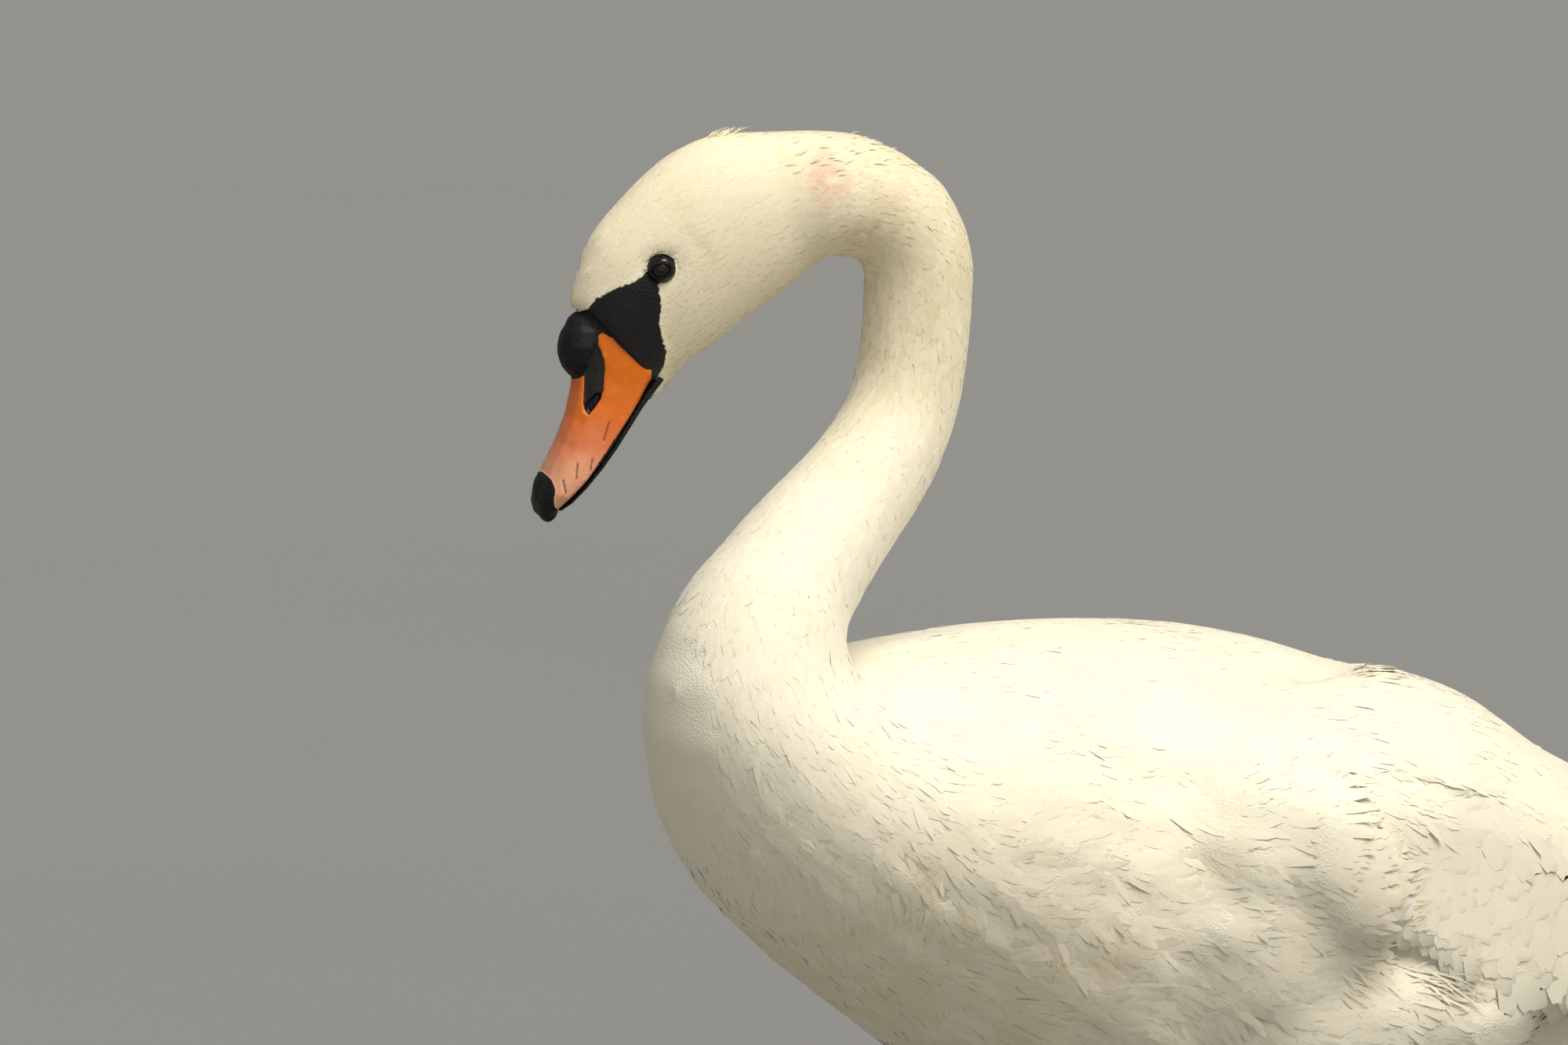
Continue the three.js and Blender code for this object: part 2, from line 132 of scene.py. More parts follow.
class Finish:
    # one material; sizes in mm
    def __init__(self, name):
        self.material = bpy.data.materials.new(name)
        self.material.use_nodes = True
        self.tree = self.material.node_tree
        self.tree.nodes.clear()
        self.position = self.node("TexCoord", out="Object")

    def node(self, kind, settings=None, values=None, out=0):
        node = self.tree.nodes.new("ShaderNode" + kind)
        for key, value in (settings or {}).items():
            if key == "stops":
                for k, (place, colour) in enumerate(value):
                    stop = node.color_ramp.elements[k] if k < 2 else node.color_ramp.elements.new(place)
                    stop.position, stop.color = place, colour
            else:
                setattr(node, key, value)
        for key, value in (values or {}).items():
            if isinstance(value, Wire):
                self.tree.links.new(value.socket, node.inputs[key])
            else:
                node.inputs[key].default_value = value
        return Wire(self, node.outputs[out]) if len(node.outputs) else None

    def mix(self, share, first, second):
        return self.node("Mix", {"data_type": "RGBA"}, {0: share, 6: first, 7: second}, 2)

    def noise(self, size, detail=2.0, roughness=0.5, vector=None):
        values = {"Vector": vector or self.position, "Scale": 1000 / size, "Detail": detail, "Roughness": roughness}
        return self.node("TexNoise", None, values)

    def cells(self, size, feature="F1"):
        values = {"Vector": self.position, "Scale": 1000 / size}
        return self.node("TexVoronoi", {"feature": feature}, values)

    def value(self, name):
        return self.node("Attribute", {"attribute_name": name}, out="Fac")

    def near(self, place, reach, soft=0.5, squash=(1, 1, 1)):
        # 1 at a place in bird mm, fading to 0
        scale = tuple(1000 / (reach * s) for s in squash)
        off = self.node("VectorMath", {"operation": "SUBTRACT"}, {0: self.position, 1: tuple(toRoom(place))})
        scaled = self.node("VectorMath", {"operation": "MULTIPLY"}, {0: off, 1: scale})
        away = self.node("VectorMath", {"operation": "LENGTH"}, {0: scaled}, out="Value")
        return 1 - away.between(1 - soft, 1)

    def bump(self, height, depth):
        return self.node("Bump", None, {"Height": height, "Strength": 1.0, "Distance": depth / 1000})

    def shade(self, **values):
        named = {socketNames[key]: v for key, v in values.items()}
        shader = self.node("BsdfPrincipled", None, named)
        self.node("OutputMaterial", None, {"Surface": shader})
        return self.material


def arraysOf(mesh):
    co = np.empty(len(mesh.vertices) * 3)
    mesh.vertices.foreach_get("co", co)
    edges = np.empty(len(mesh.edges) * 2, np.int32)
    mesh.edges.foreach_get("vertices", edges)
    return co.reshape(-1, 3), edges.reshape(-1, 2)


def putBack(mesh, co):
    mesh.vertices.foreach_set("co", np.ascontiguousarray(co, np.float32).ravel())
    mesh.update()


def normalsOf(mesh):
    n = np.empty(len(mesh.vertices) * 3)
    mesh.vertex_normals.foreach_get("vector", n)
    return n.reshape(-1, 3)


def relax(mesh, rounds, hold=1.0, pull=0.55, push=-0.575):
    # irons out facets without shrinking the form
    co, edges = arraysOf(mesh)
    a, b = edges.T
    count = np.bincount(edges.ravel(), minlength=len(co))
    hold = np.broadcast_to(np.asarray(hold, float).reshape(-1, 1), (len(co), 1))
    for step in range(2 * rounds):
        total = np.stack([np.bincount(a, co[b, k], len(co)) + np.bincount(b, co[a, k], len(co)) for k in range(3)], 1)
        co = co + (push if step % 2 else pull) * hold * (total / np.maximum(count, 1)[:, None] - co)
    putBack(mesh, co)


def objectOf(name, mesh, material=None):
    piece = bpy.data.objects.new(name, mesh)
    scene.collection.objects.link(piece)
    if material:
        mesh.materials.clear()
        mesh.materials.append(material)
    return piece


def applied(mesh, kind, **settings):
    piece = objectOf("bench", mesh)
    modifier = piece.modifiers.new("step", kind)
    for key, value in settings.items():
        setattr(modifier, key, value)
    result = bpy.data.meshes.new_from_object(piece.evaluated_get(bpy.context.evaluated_depsgraph_get()))
    bpy.data.objects.remove(piece)
    return result


def wrap(names, voxel, grow=0.4, swells=()):
    # one closed mesh round some of the solids, with egg-shaped swells added
    joined = bmesh.new()
    for middle, radii, lean, turn in swells:
        form = Matrix.Translation(Vector(toRoom(middle))) @ Matrix.Rotation(math.radians(turn), 4, "Z")
        form = form @ Matrix.Rotation(math.radians(lean), 4, "X")
        form = form @ Matrix.Diagonal([r / 1000 for r in radii] + [1])
        bmesh.ops.create_icosphere(joined, subdivisions=4, radius=1, matrix=form)
    for name in names:
        part = bmesh.new()
        part.from_mesh(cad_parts[name].data)
        bmesh.ops.remove_doubles(part, verts=part.verts, dist=1e-6)
        part.normal_update()
        for v in part.verts:
            v.co += v.normal * (grow / 1000)
        mesh = bpy.data.meshes.new("part")
        part.to_mesh(mesh)
        part.free()
        joined.from_mesh(mesh)
        bpy.data.meshes.remove(mesh)
    mesh = bpy.data.meshes.new("joined")
    joined.to_mesh(mesh)
    joined.free()
    return applied(mesh, "REMESH", mode="VOXEL", voxel_size=voxel / 1000)


def onHead(swells):
    return [(turnHead(middle), radii, lean, -bird["headTurn"]) for middle, radii, lean in swells]


def union(first, second):
    other = objectOf("other", second)
    result = applied(first, "BOOLEAN", operation="UNION", solver="MANIFOLD", object=other)
    bpy.data.objects.remove(other)
    return result


def ringMesh(rings):
    # a band through rings of points, the last joined to the first
    count, sides = len(rings), len(rings[0])
    verts = [tuple(p) for ring in rings for p in ring]
    faces = []
    for i in range(count):
        here, after = i * sides, (i + 1) % count * sides
        for j in range(sides):
            k = (j + 1) % sides
            faces.append([here + j, here + k, after + k, after + j])
    mesh = bpy.data.meshes.new("ring")
    mesh.from_pydata(verts, [], faces)
    work = bmesh.new()
    work.from_mesh(mesh)
    bmesh.ops.recalc_face_normals(work, faces=work.faces)
    work.to_mesh(mesh)
    work.free()
    return mesh


def setValue(mesh, name, values):
    attribute = mesh.attributes.get(name) or mesh.attributes.new(name, "FLOAT", "POINT")
    attribute.data.foreach_set("value", np.ascontiguousarray(values, np.float32))


def smoothed(mesh):
    mesh.polygons.foreach_set("use_smooth", np.ones(len(mesh.polygons), bool))
    mesh.update()


def toOutline(points, outline):
    # distance to a closed outline in one plane, negative inside
    p, q = np.asarray(outline, float), np.roll(np.asarray(outline, float), -1, 0)
    x, z = points[:, :1], points[:, 1:]
    run = q - p
    t = np.clip(((x - p[:, 0]) * run[:, 0] + (z - p[:, 1]) * run[:, 1]) / (run**2).sum(1), 0, 1)
    far = np.hypot(x - p[:, 0] - t * run[:, 0], z - p[:, 1] - t * run[:, 1]).min(1)
    above, below = p[:, 1] > z, q[:, 1] > z
    rise = np.where(np.abs(run[:, 1]) < 1e-9, 1e-9, run[:, 1])
    crossing = (above != below) & (x < run[:, 0] * (z - p[:, 1]) / rise + p[:, 0])
    return np.where(crossing.sum(1) % 2 == 1, -far, far)


def toLine(points, line):
    # distance to an open line in one plane
    p, q = np.asarray(line[:-1], float), np.asarray(line[1:], float)
    x, z = points[:, :1], points[:, 1:]
    run = q - p
    t = np.clip(((x - p[:, 0]) * run[:, 0] + (z - p[:, 1]) * run[:, 1]) / (run**2).sum(1), 0, 1)
    return np.hypot(x - p[:, 0] - t * run[:, 0], z - p[:, 1] - t * run[:, 1]).min(1)


studio = {
    "floor": (130, 129, 126), "floorCloud": (124, 123, 120), "floorRadius": 30,
    "eye": (3494.5, -3535.8, 890.8), "aim": (0.69741, -0.69741, 0.16505), "lens": 243.24, "sensor": 36,
    "sky": (236, 238, 240), "skyPower": 0.38,
    # each lamp: where it shines from, power, softness in degrees, tint
    "lamps": {
        "key": ((1.25, -0.05, 2.05), 3.35, 40, (255, 252, 246)),
        "fill": ((2.6, -2.4, 1.2), 0.3, 60, (240, 245, 255)),
    },
}
scene.view_settings.view_transform = "Standard"

floorFinish = Finish("studio floor")
cloudy = floorFinish.noise(900, 3)
floorFinish.shade(
    baseColor=floorFinish.mix(cloudy * 0.5, linear(*studio["floor"]), linear(*studio["floorCloud"])), roughness=0.85
)
disc = bmesh.new()
bmesh.ops.create_circle(disc, cap_ends=True, segments=96, radius=studio["floorRadius"])
floorMesh = bpy.data.meshes.new("floor")
disc.to_mesh(floorMesh)
disc.free()
floor = objectOf("floor", floorMesh, floorFinish.material)

world = bpy.data.worlds.new("studio")
world.use_nodes = True
sky = world.node_tree.nodes["Background"]
sky.inputs["Color"].default_value = linear(*studio["sky"])
sky.inputs["Strength"].default_value = studio["skyPower"]
scene.world = world


def lamp(name, away, power, spread, tint):
    light = bpy.data.lights.new(name, "SUN")
    light.energy, light.angle, light.color = power, math.radians(spread), linear(*tint)[:3]
    piece = bpy.data.objects.new(name, light)
    piece.location = Vector(away)
    piece.rotation_euler = Vector(away).to_track_quat("Z", "Y").to_euler()
    scene.collection.objects.link(piece)


for name, settings in studio["lamps"].items():
    lamp(name, *settings)

camera = bpy.data.objects.new("camera", bpy.data.cameras.new("camera"))
camera.data.lens, camera.data.sensor_width = studio["lens"], studio["sensor"]
camera.data.clip_end = 100
camera.location = Vector(toRoom(studio["eye"]))
camera.rotation_euler = Vector(studio["aim"]).to_track_quat("Z", "Y").to_euler()
scene.collection.objects.link(camera)
scene.camera = camera
print("stage, lights and camera set")

# the guide line down the middle of the bird, bill to tail: y, z, reach
guide = {
    "head": [(-116, 140, 17), (-101, 150, 20), (-91, 165, 24), (-77, 178, 27), (-58, 194, 28), (-38, 204, 28),
             (-19, 210, 29)],
    "neck": [(-2, 213, 31), (20, 211, 29), (41, 199, 27), (49, 180, 26), (49, 160, 26), (47, 138, 26),
             (41, 114, 26), (26, 91, 28), (4, 71, 30), (-22, 51, 33), (-42, 28, 38)],
    "trunk": [(-54, 0, 48), (-52, -35, 62), (-30, -75, 78), (15, -108, 95), (80, -128, 108), (160, -145, 125),
              (240, -165, 136), (320, -184, 136), (400, -195, 122), (480, -198, 95), (550, -196, 62),
              (620, -192, 40), (700, -192, 36), (790, -197, 34)],
    "batch": 20000,
}


def buildGuide():
    head, neck, body = (np.array([(0, y, z) for y, z, _ in guide[key]], float) for key in ("head", "neck", "trunk"))
    neckTurn = smoothstep(bird["turnFrom"], bird["turnTo"], neck[:, 2])
    places = np.concatenate([turnHead(head), turnHead(neck, neckTurn), body])
    reach = np.array([row[2] for key in ("head", "neck", "trunk") for row in guide[key]], float)
    turns = np.concatenate([np.ones(len(head)), neckTurn, np.zeros(len(body))])
    # filled in between so the pull changes evenly
    at = np.linspace(0, len(places) - 1, 3 * len(places) - 2)
    near = np.arange(len(places))
    places = np.stack([np.interp(at, near, places[:, k]) for k in range(3)], 1)
    reach, turns = np.interp(at, near, reach), np.interp(at, near, turns)
    along = unit(np.gradient(places, axis=0))
    angle = -math.radians(bird["headTurn"]) * turns
    across = np.stack([np.cos(angle), np.sin(angle), 0 * angle], 1)
    upper = unit(np.cross(across, along))
    travel = np.concatenate([[0], np.cumsum(np.linalg.norm(np.diff(places, axis=0), axis=1))])
    return places, reach, along, upper, across, travel


guidePlaces, guideReach, guideAlong, guideUpper, guideAcross, guideTravel = buildGuide()


def followGuide(p):
    # for points in bird mm: lie of the coat, distance down the bird, angle round it
    lie, travel, angle = np.empty((len(p), 3)), np.empty(len(p)), np.empty(len(p))
    for start in range(0, len(p), guide["batch"]):
        q = p[start : start + guide["batch"]]
        far = np.linalg.norm(q[:, None] - guidePlaces, axis=2) / guideReach
        pull = 1 / (0.02 + far**6)
        pull /= pull.sum(1, keepdims=True)
        off = q - pull @ guidePlaces
        stop = start + len(q)
        lie[start:stop] = unit(pull @ guideAlong)
        travel[start:stop] = pull @ guideTravel
        angle[start:stop] = np.arctan2((off * (pull @ guideAcross)).sum(1), (off * (pull @ guideUpper)).sum(1))
    return lie, travel, angle


# the colours that skin and coat share, and where the marks and the painted shade lie: middle, reach, softness, squash
plumage = {
    # the darker tone colour serves for random per-feather tone and for painted shade behind the eyes and on the neck
    "body": (245, 237, 212), "head": (244, 231, 197), "shade": (226, 204, 150), "dullAndShade": (196, 172, 122),
    "dullAndShadeShare": 0.16, "neckFrom": 40, "neckTo": 190,
    # breast: painted shade, darker over the lower breast
    "breast": ((30, 20, -190), 190, 0.8),
    "pink": (232, 168, 140), "pinkMark": ((-1, -11, 226), 19, 0.7, (1, 0.75, 1.35)),
    "brown": (188, 140, 98), "brownMark": ((5, 6, 198), 15, 0.8, (1, 1.2, 0.8)),
}


def heightOf(z):
    return float(toRoom([0, 0, z])[2])


def plumageColour(finish):
    body, head, shade, pink, brown = (linear(*plumage[key]) for key in ("body", "head", "shade", "pink", "brown"))
    height = finish.node("SeparateXYZ", None, {0: finish.position}, out="Z")
    upNeck = height.between(heightOf(plumage["neckFrom"]), heightOf(plumage["neckTo"]))
    broad = finish.noise(38, 3, 0.6)
    fine = finish.noise(9, 2, 0.5)
    colour = finish.mix(upNeck, body, head)
    shaded = broad.between(0.5, 0.75) * (0.12 + 0.2 * upNeck) + fine.between(0.55, 0.8) * 0.08
    colour = finish.mix(shaded, colour, shade)
    # painted shade over the lower breast, patchy with the broad noise
    breast = finish.near(*plumage["breast"])
    colour = finish.mix(breast * (0.16 + 0.22 * broad.between(0.4, 0.7)), colour, shade)
    mark = finish.near(*plumage["pinkMark"]) * finish.noise(7, 2).between(0.3, 0.7)
    colour = finish.mix(mark * 0.55, colour, pink)
    mark = finish.near(*plumage["brownMark"]) * finish.noise(6, 2).between(0.35, 0.7)
    return finish.mix(mark * 0.42, colour, brown)


def plumageFinish(name):
    finish = Finish(name)
    # random per-feather tone, plus painted shade behind the eyes and on the upper neck, mixes towards the darker tone
    # colour
    toneAndShade = finish.value("toneAndShade")
    colour = finish.mix(toneAndShade * plumage["dullAndShadeShare"], plumageColour(finish), linear(*plumage["dullAndShade"]))
    barbs = finish.bump(finish.noise(1.6, 2), 0.12)
    return finish.shade(baseColor=colour, roughness=0.62, normal=barbs, sheen=0.25, sheenRoughness=0.4,
                        specular=0.25)


skinSettings = {
    "voxel": 4.6, "legVoxel": 1.7,
    # brow over the bill, and the chin
    "headSwells": [((0, -111, 168), (10, 13, 13), 0), ((0, -83, 129), (8, 8, 15), -36)],
    "depth": {"face": 0.35, "neck": 0.55, "body": 1.1},
    "billPress": 1.8, "billReach": 6,  # how deep and how far the skin runs on inside the bill
    "nodes": ["head", "neck_upper", "neck_middle", "neck_lower", "trunk", "tail", "wing_left", "wing_right",
              "flight_left", "flight_right", "thigh_left", "thigh_right"],
    "legNodes": ["shank_left", "shank_right", "foot_left", "foot_right"],
    "tailFrom": 600, "tailShare": 0.45,
    "ankleHeight": 124,
}
eyeSocket = {"reach": 9.5, "opening": 5.0, "sunk": 6.3, "rim": 7.6, "raised": 7.95}  # round the eyeball's middle
lores = {  # bare black skin from the bill to the eye, seen from the side: y, z
    "outline": [(-150, 160), (-124, 158), (-118, 164), (-114, 170), (-107, 174.5), (-98, 178.5), (-93, 182),
                (-91, 187), (-84, 189.5), (-79, 189.5), (-82, 181), (-86.5, 176.5), (-85, 167), (-85.5, 159),
                (-83.5, 150.5), (-81, 145), (-80.5, 138), (-83, 132), (-87, 124), (-110, 100), (-160, 60)],
    "eyeRing": 5.2,
}
wrist = {
    # the rounded lobe over the bend of the wing, from the side: y, z
    "lobe": [(168, -67), (177, -60), (190, -78), (205, -97), (216, -112), (217, -128), (213, -142), (206, -150),
             (193, -153), (177, -146), (165, -131), (156, -116), (157, -89)],
    "proud": 4.5, "sunk": 5.0, "sinkReach": 34,
    # egg-shaped swells that close the steps round the wing: middle, radii, lean
    "swells": [((100, 182, -100), (62, 74, 60), 0), ((90, 250, -188), (68, 114, 60), 0),
               ((142, 191, -118), (27, 29, 58), 23), ((80, 185, -64), (50, 82, 28), 0),
               ((85, 186, -150), (67, 78, 64), 0), ((92, 290, -198), (68, 92, 52), 0),
               ((95, 205, -136), (62, 110, 46), 0)],
    "pocket": [(96, -66), (122, -76), (150, -96)], "pocketReach": 12, "pocketDepth": 2.5,
    # the lower edge of the shoulder feathers over the wing: y, z
    "fold": [(150, -50), (177, -60), (224, -70), (267, -87), (330, -104), (420, -128), (480, -142), (540, -158)],
    "foldDepth": 2.0, "shoulder": 3.6, "shoulderAt": 434, "dimples": 0.55,
}


def lobeDistance(spot):
    # positive inside the lobe
    return -toOutline(spot[:, 1:], wrist["lobe"])


def belowFold(spot):
    # how far below the edge of the shoulder feathers
    fold = np.array(wrist["fold"], float)
    return np.interp(spot[:, 1], fold[:, 0], fold[:, 1]) - spot[:, 2]


def sculptWrist(mesh):
    # smooths the bend of the wing, then raises the lobe and cuts in the folds round it
    co, _ = arraysOf(mesh)
    spot = toBird(co)
    flank = smoothstep(85, 115, np.abs(spot[:, 0]))
    front = smoothstep(70, 110, spot[:, 1]) * smoothstep(235, 205, spot[:, 1])
    height = smoothstep(-215, -185, spot[:, 2]) * smoothstep(-15, -45, spot[:, 2])
    lobe = smoothstep(-4, 4, lobeDistance(spot))
    relax(mesh, 7, flank * front * height * (1 - lobe), 0.5, 0.2)
    top = smoothstep(110, 180, spot[:, 1]) * smoothstep(470, 380, spot[:, 1]) * smoothstep(-85, -55, spot[:, 2])
    relax(mesh, 36, top, 0.6, 0.3)
    co, _ = arraysOf(mesh)
    spot = toBird(co)
    w = wrist
    inside = lobeDistance(spot)
    behind = smoothstep(-6, 10, spot[:, 1] - np.interp(-spot[:, 2], [55, 100, 155], [172, 186, 188]))
    out = w["proud"] * smoothstep(-1.5, 7, inside)
    sink = w["sunk"] * smoothstep(1.5, -3, inside) * np.exp(np.minimum(inside, 0) / w["sinkReach"])
    out -= sink * behind * smoothstep(-165, -150, spot[:, 2])
    out -= w["pocketDepth"] * np.exp(-(toLine(spot[:, 1:], w["pocket"]) / w["pocketReach"]) ** 2)
    below = belowFold(spot)
    step = smoothstep(-2.5, 2.5, below) * np.exp(-np.maximum(below, 0) / 30)
    step -= 0.35 * smoothstep(-30, 0, below) * (below < 0)
    out -= w["foldDepth"] * step * smoothstep(205, 235, spot[:, 1]) * smoothstep(310, 262, spot[:, 1])
    out *= flank * (np.abs(spot[:, 1] - 250) < 260)
    # soft dimples over breast and flank
    lumps = ripple(spot * [1, 0.8, 1.3], 17, 8) * smoothstep(-30, -90, spot[:, 2]) * smoothstep(420, 300, spot[:, 1])
    lumps *= 1 - flank * smoothstep(120, 170, spot[:, 1]) * smoothstep(-185, -160, spot[:, 2])
    # the rounded shoulder of the back over the folded wing
    reach = spot[:, 1] + np.abs(spot[:, 0])
    shoulder = w["shoulder"] * np.exp(-((reach - w["shoulderAt"]) / 40) ** 2) * smoothstep(-120, -70, spot[:, 2])
    shoulder = shoulder * smoothstep(30, 70, np.abs(spot[:, 0]))
    co += normalsOf(mesh) * ((w["dimples"] * lumps + shoulder)[:, None] / 1000)
    co[:, 0] += np.sign(spot[:, 0]) * out / 1000
    putBack(mesh, co)


def ripple(p, size, seed):
    # a smooth wandering number, about -1 to 1, over places in bird mm
    rng = np.random.default_rng(seed)
    total = 0
    for k in range(7):
        way = unit(rng.normal(size=3)) * 2 * math.pi / (size * (0.7 + 0.18 * k))
        total = total + np.sin(p @ way + rng.random() * 6.28)
    return total / 3.0


def loresDistance(face):
    # negative inside the bare black skin
    far = toOutline(face[:, 1:], lores["outline"])
    return np.where((face[:, 1] < -60) & (face[:, 2] > 95) & (np.abs(face[:, 0]) < 40), far, 30)


def fromEye(face):
    # how far out along the nearer eye's axis and off it, and the way there from its middle
    middle = np.array([eyeball["spread"], eyeball["back"], eyeball["height"]])
    axis = unit(np.array(eyeball["axis"]))
    off = np.abs(face) * [1, 0, 0] + face * [0, 1, 1] - middle
    out = off @ axis
    return out, np.linalg.norm(off - out[:, None] * axis, axis=1), off


def fromSolid(places, name):
    # distance from each place to the surface of a solid, in metres
    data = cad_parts[name].data
    tree = BVHTree.FromPolygons([tuple(v.co) for v in data.vertices], [list(f.vertices) for f in data.polygons])
    return np.array([tree.find_nearest(q)[3] for q in places])


def finer(mesh, chosen):
    # cuts each edge between two chosen points in half
    work = bmesh.new()
    work.from_mesh(mesh)
    work.verts.ensure_lookup_table()
    edges = [e for e in work.edges if chosen[e.verts[0].index] and chosen[e.verts[1].index]]
    bmesh.ops.subdivide_edges(work, edges=edges, cuts=1, use_grid_fill=True)
    work.to_mesh(mesh)
    work.free()
    mesh.update()


def refineFace(mesh):
    # the face is cut finer and finer towards the eyes
    for step in range(3):
        co, _ = arraysOf(mesh)
        face = toFace(co)
        out, aside, _ = fromEye(face)
        high = face[:, 2] > 118
        finer(mesh, (high & (face[:, 1] < -20), high & (face[:, 1] < -62), (aside < 14) & (out > -6))[step])
        co, _ = arraysOf(mesh)
        face = toFace(co)
        relax(mesh, 5, (face[:, 2] > 112) & (face[:, 1] < -20))


def sinkUnderCoat(mesh):
    # draws the skin in by the coat's depth
    s, deep = skinSettings, skinSettings["depth"]
    co, _ = arraysOf(mesh)
    normal = normalsOf(mesh)
    spot, face = toBird(co), toFace(co)
    depth = deep["body"] + (deep["neck"] - deep["body"]) * smoothstep(-20, 70, spot[:, 2])
    depth = depth + (deep["face"] - depth) * smoothstep(-10, -50, face[:, 1]) * smoothstep(90, 130, spot[:, 2])
    depth = depth * smoothstep(-0.5, 3, loresDistance(face))
    # it runs on a little way inside the bill, so no slit shows round the bill's base
    inBill = (face[:, 1] <= -84) & (face[:, 2] < 164) & (face[:, 2] > 40)
    beyond = fromSolid(co, "head") * 1000 * inBill
    depth = depth + s["billPress"] * smoothstep(0.5, 3.0, beyond)
    co = co - normal * depth[:, None] / 1000
    drawn = face + np.array([0, 0.55, 0.83]) * np.maximum(beyond - s["billReach"], 0)[:, None]
    co = co + toRoom(turnHead(drawn)) - toRoom(turnHead(face))
    behind = np.maximum(toBird(co)[:, 1] - s["tailFrom"], 0)
    co[:, 1] -= behind * (1 - s["tailShare"]) / 1000
    return co


def cutSockets(co):
    # nothing of the skin stands in front of the eyeballs
    face = toFace(co)
    out, aside, off = fromEye(face)
    away = np.linalg.norm(off, axis=1)
    near = (away < eyeSocket["reach"]) & (out > 0)
    opening, rim = aside < eyeSocket["opening"], (aside >= eyeSocket["opening"]) & (aside < eyeSocket["rim"])
    pressed = np.where(near & opening, np.minimum(away, eyeSocket["sunk"]), away)
    pressed = np.where(near & rim, np.maximum(away, eyeSocket["raised"]), pressed)
    side = np.sign(face[:, 0])[:, None]
    direction = off / np.maximum(away, 1e-6)[:, None] * np.concatenate([side, np.ones((len(face), 2))], 1)
    return toRoom(turnHead(face + direction * (pressed - away)[:, None]))


def makeSkin():
    s = skinSettings
    swells = [((side * x, y, z), radii, lean, 0) for (x, y, z), radii, lean in wrist["swells"] for side in (1, -1)]
    swells += onHead(s["headSwells"])
    mesh = wrap(s["nodes"] + ["bill_upper"], s["voxel"], swells=swells)
    co, _ = arraysOf(mesh)
    relax(mesh, 26, np.where(toBird(co)[:, 2] > 60, 0.6, 1.0))
    sculptWrist(mesh)
    refineFace(mesh)
    putBack(mesh, cutSockets(sinkUnderCoat(mesh)))
    legs = wrap(s["legNodes"], s["legVoxel"], 0.1)
    relax(legs, 3)
    return union(mesh, legs)


skinMesh = makeSkin()
print("skin", len(skinMesh.polygons))


def skinFinish():
    finish = Finish("skin")
    bare = finish.value("bare")  # mm inside the bare black parts, negative outside
    leg = finish.value("leg")
    edge = (bare + (finish.noise(2.2, 2) - 0.5) * 2.4).between(-0.5, 0.5)
    pebbles = finish.cells(1.1)
    grey = finish.noise(5, 3, 0.6)
    black = finish.mix(grey.between(0.45, 0.75) * 0.5, linear(9, 8, 7), linear(30, 28, 26))
    scutes = finish.cells(3.0, "DISTANCE_TO_EDGE")
    legBlack = finish.mix(scutes.between(0.0, 0.12), linear(22, 21, 19), linear(50, 48, 44))
    black = finish.mix(leg, black, legBlack)
    colour = finish.mix(edge, plumageColour(finish), black)
    relief = finish.bump(pebbles * (1 - leg) + leg * scutes.between(0.0, 0.2), 0.22)
    return finish.shade(baseColor=colour, roughness=0.5 + 0.2 * (1 - edge), normal=relief, specular=0.4)


def finishSkin(mesh):
    co, _ = arraysOf(mesh)
    face, spot = toFace(co), toBird(co)
    out, aside, _ = fromEye(face)
    ankle = skinSettings["ankleHeight"]
    bare = np.maximum(-loresDistance(face), np.where((out > -2) & (face[:, 2] > 150), lores["eyeRing"] - aside, -30))
    leg = smoothstep(ankle + 16, ankle + 8, spot[:, 2] + bird["backHeight"])
    bare = np.where(leg > 0.02, 30 * leg - 15, bare)
    setValue(mesh, "bare", np.clip(bare, -30, 30))
    setValue(mesh, "leg", leg)
    smoothed(mesh)
    piece = objectOf("skin", mesh, skinFinish())
    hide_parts(*skinSettings["nodes"], *skinSettings["legNodes"])
    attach(piece, "root")


finishSkin(skinMesh)

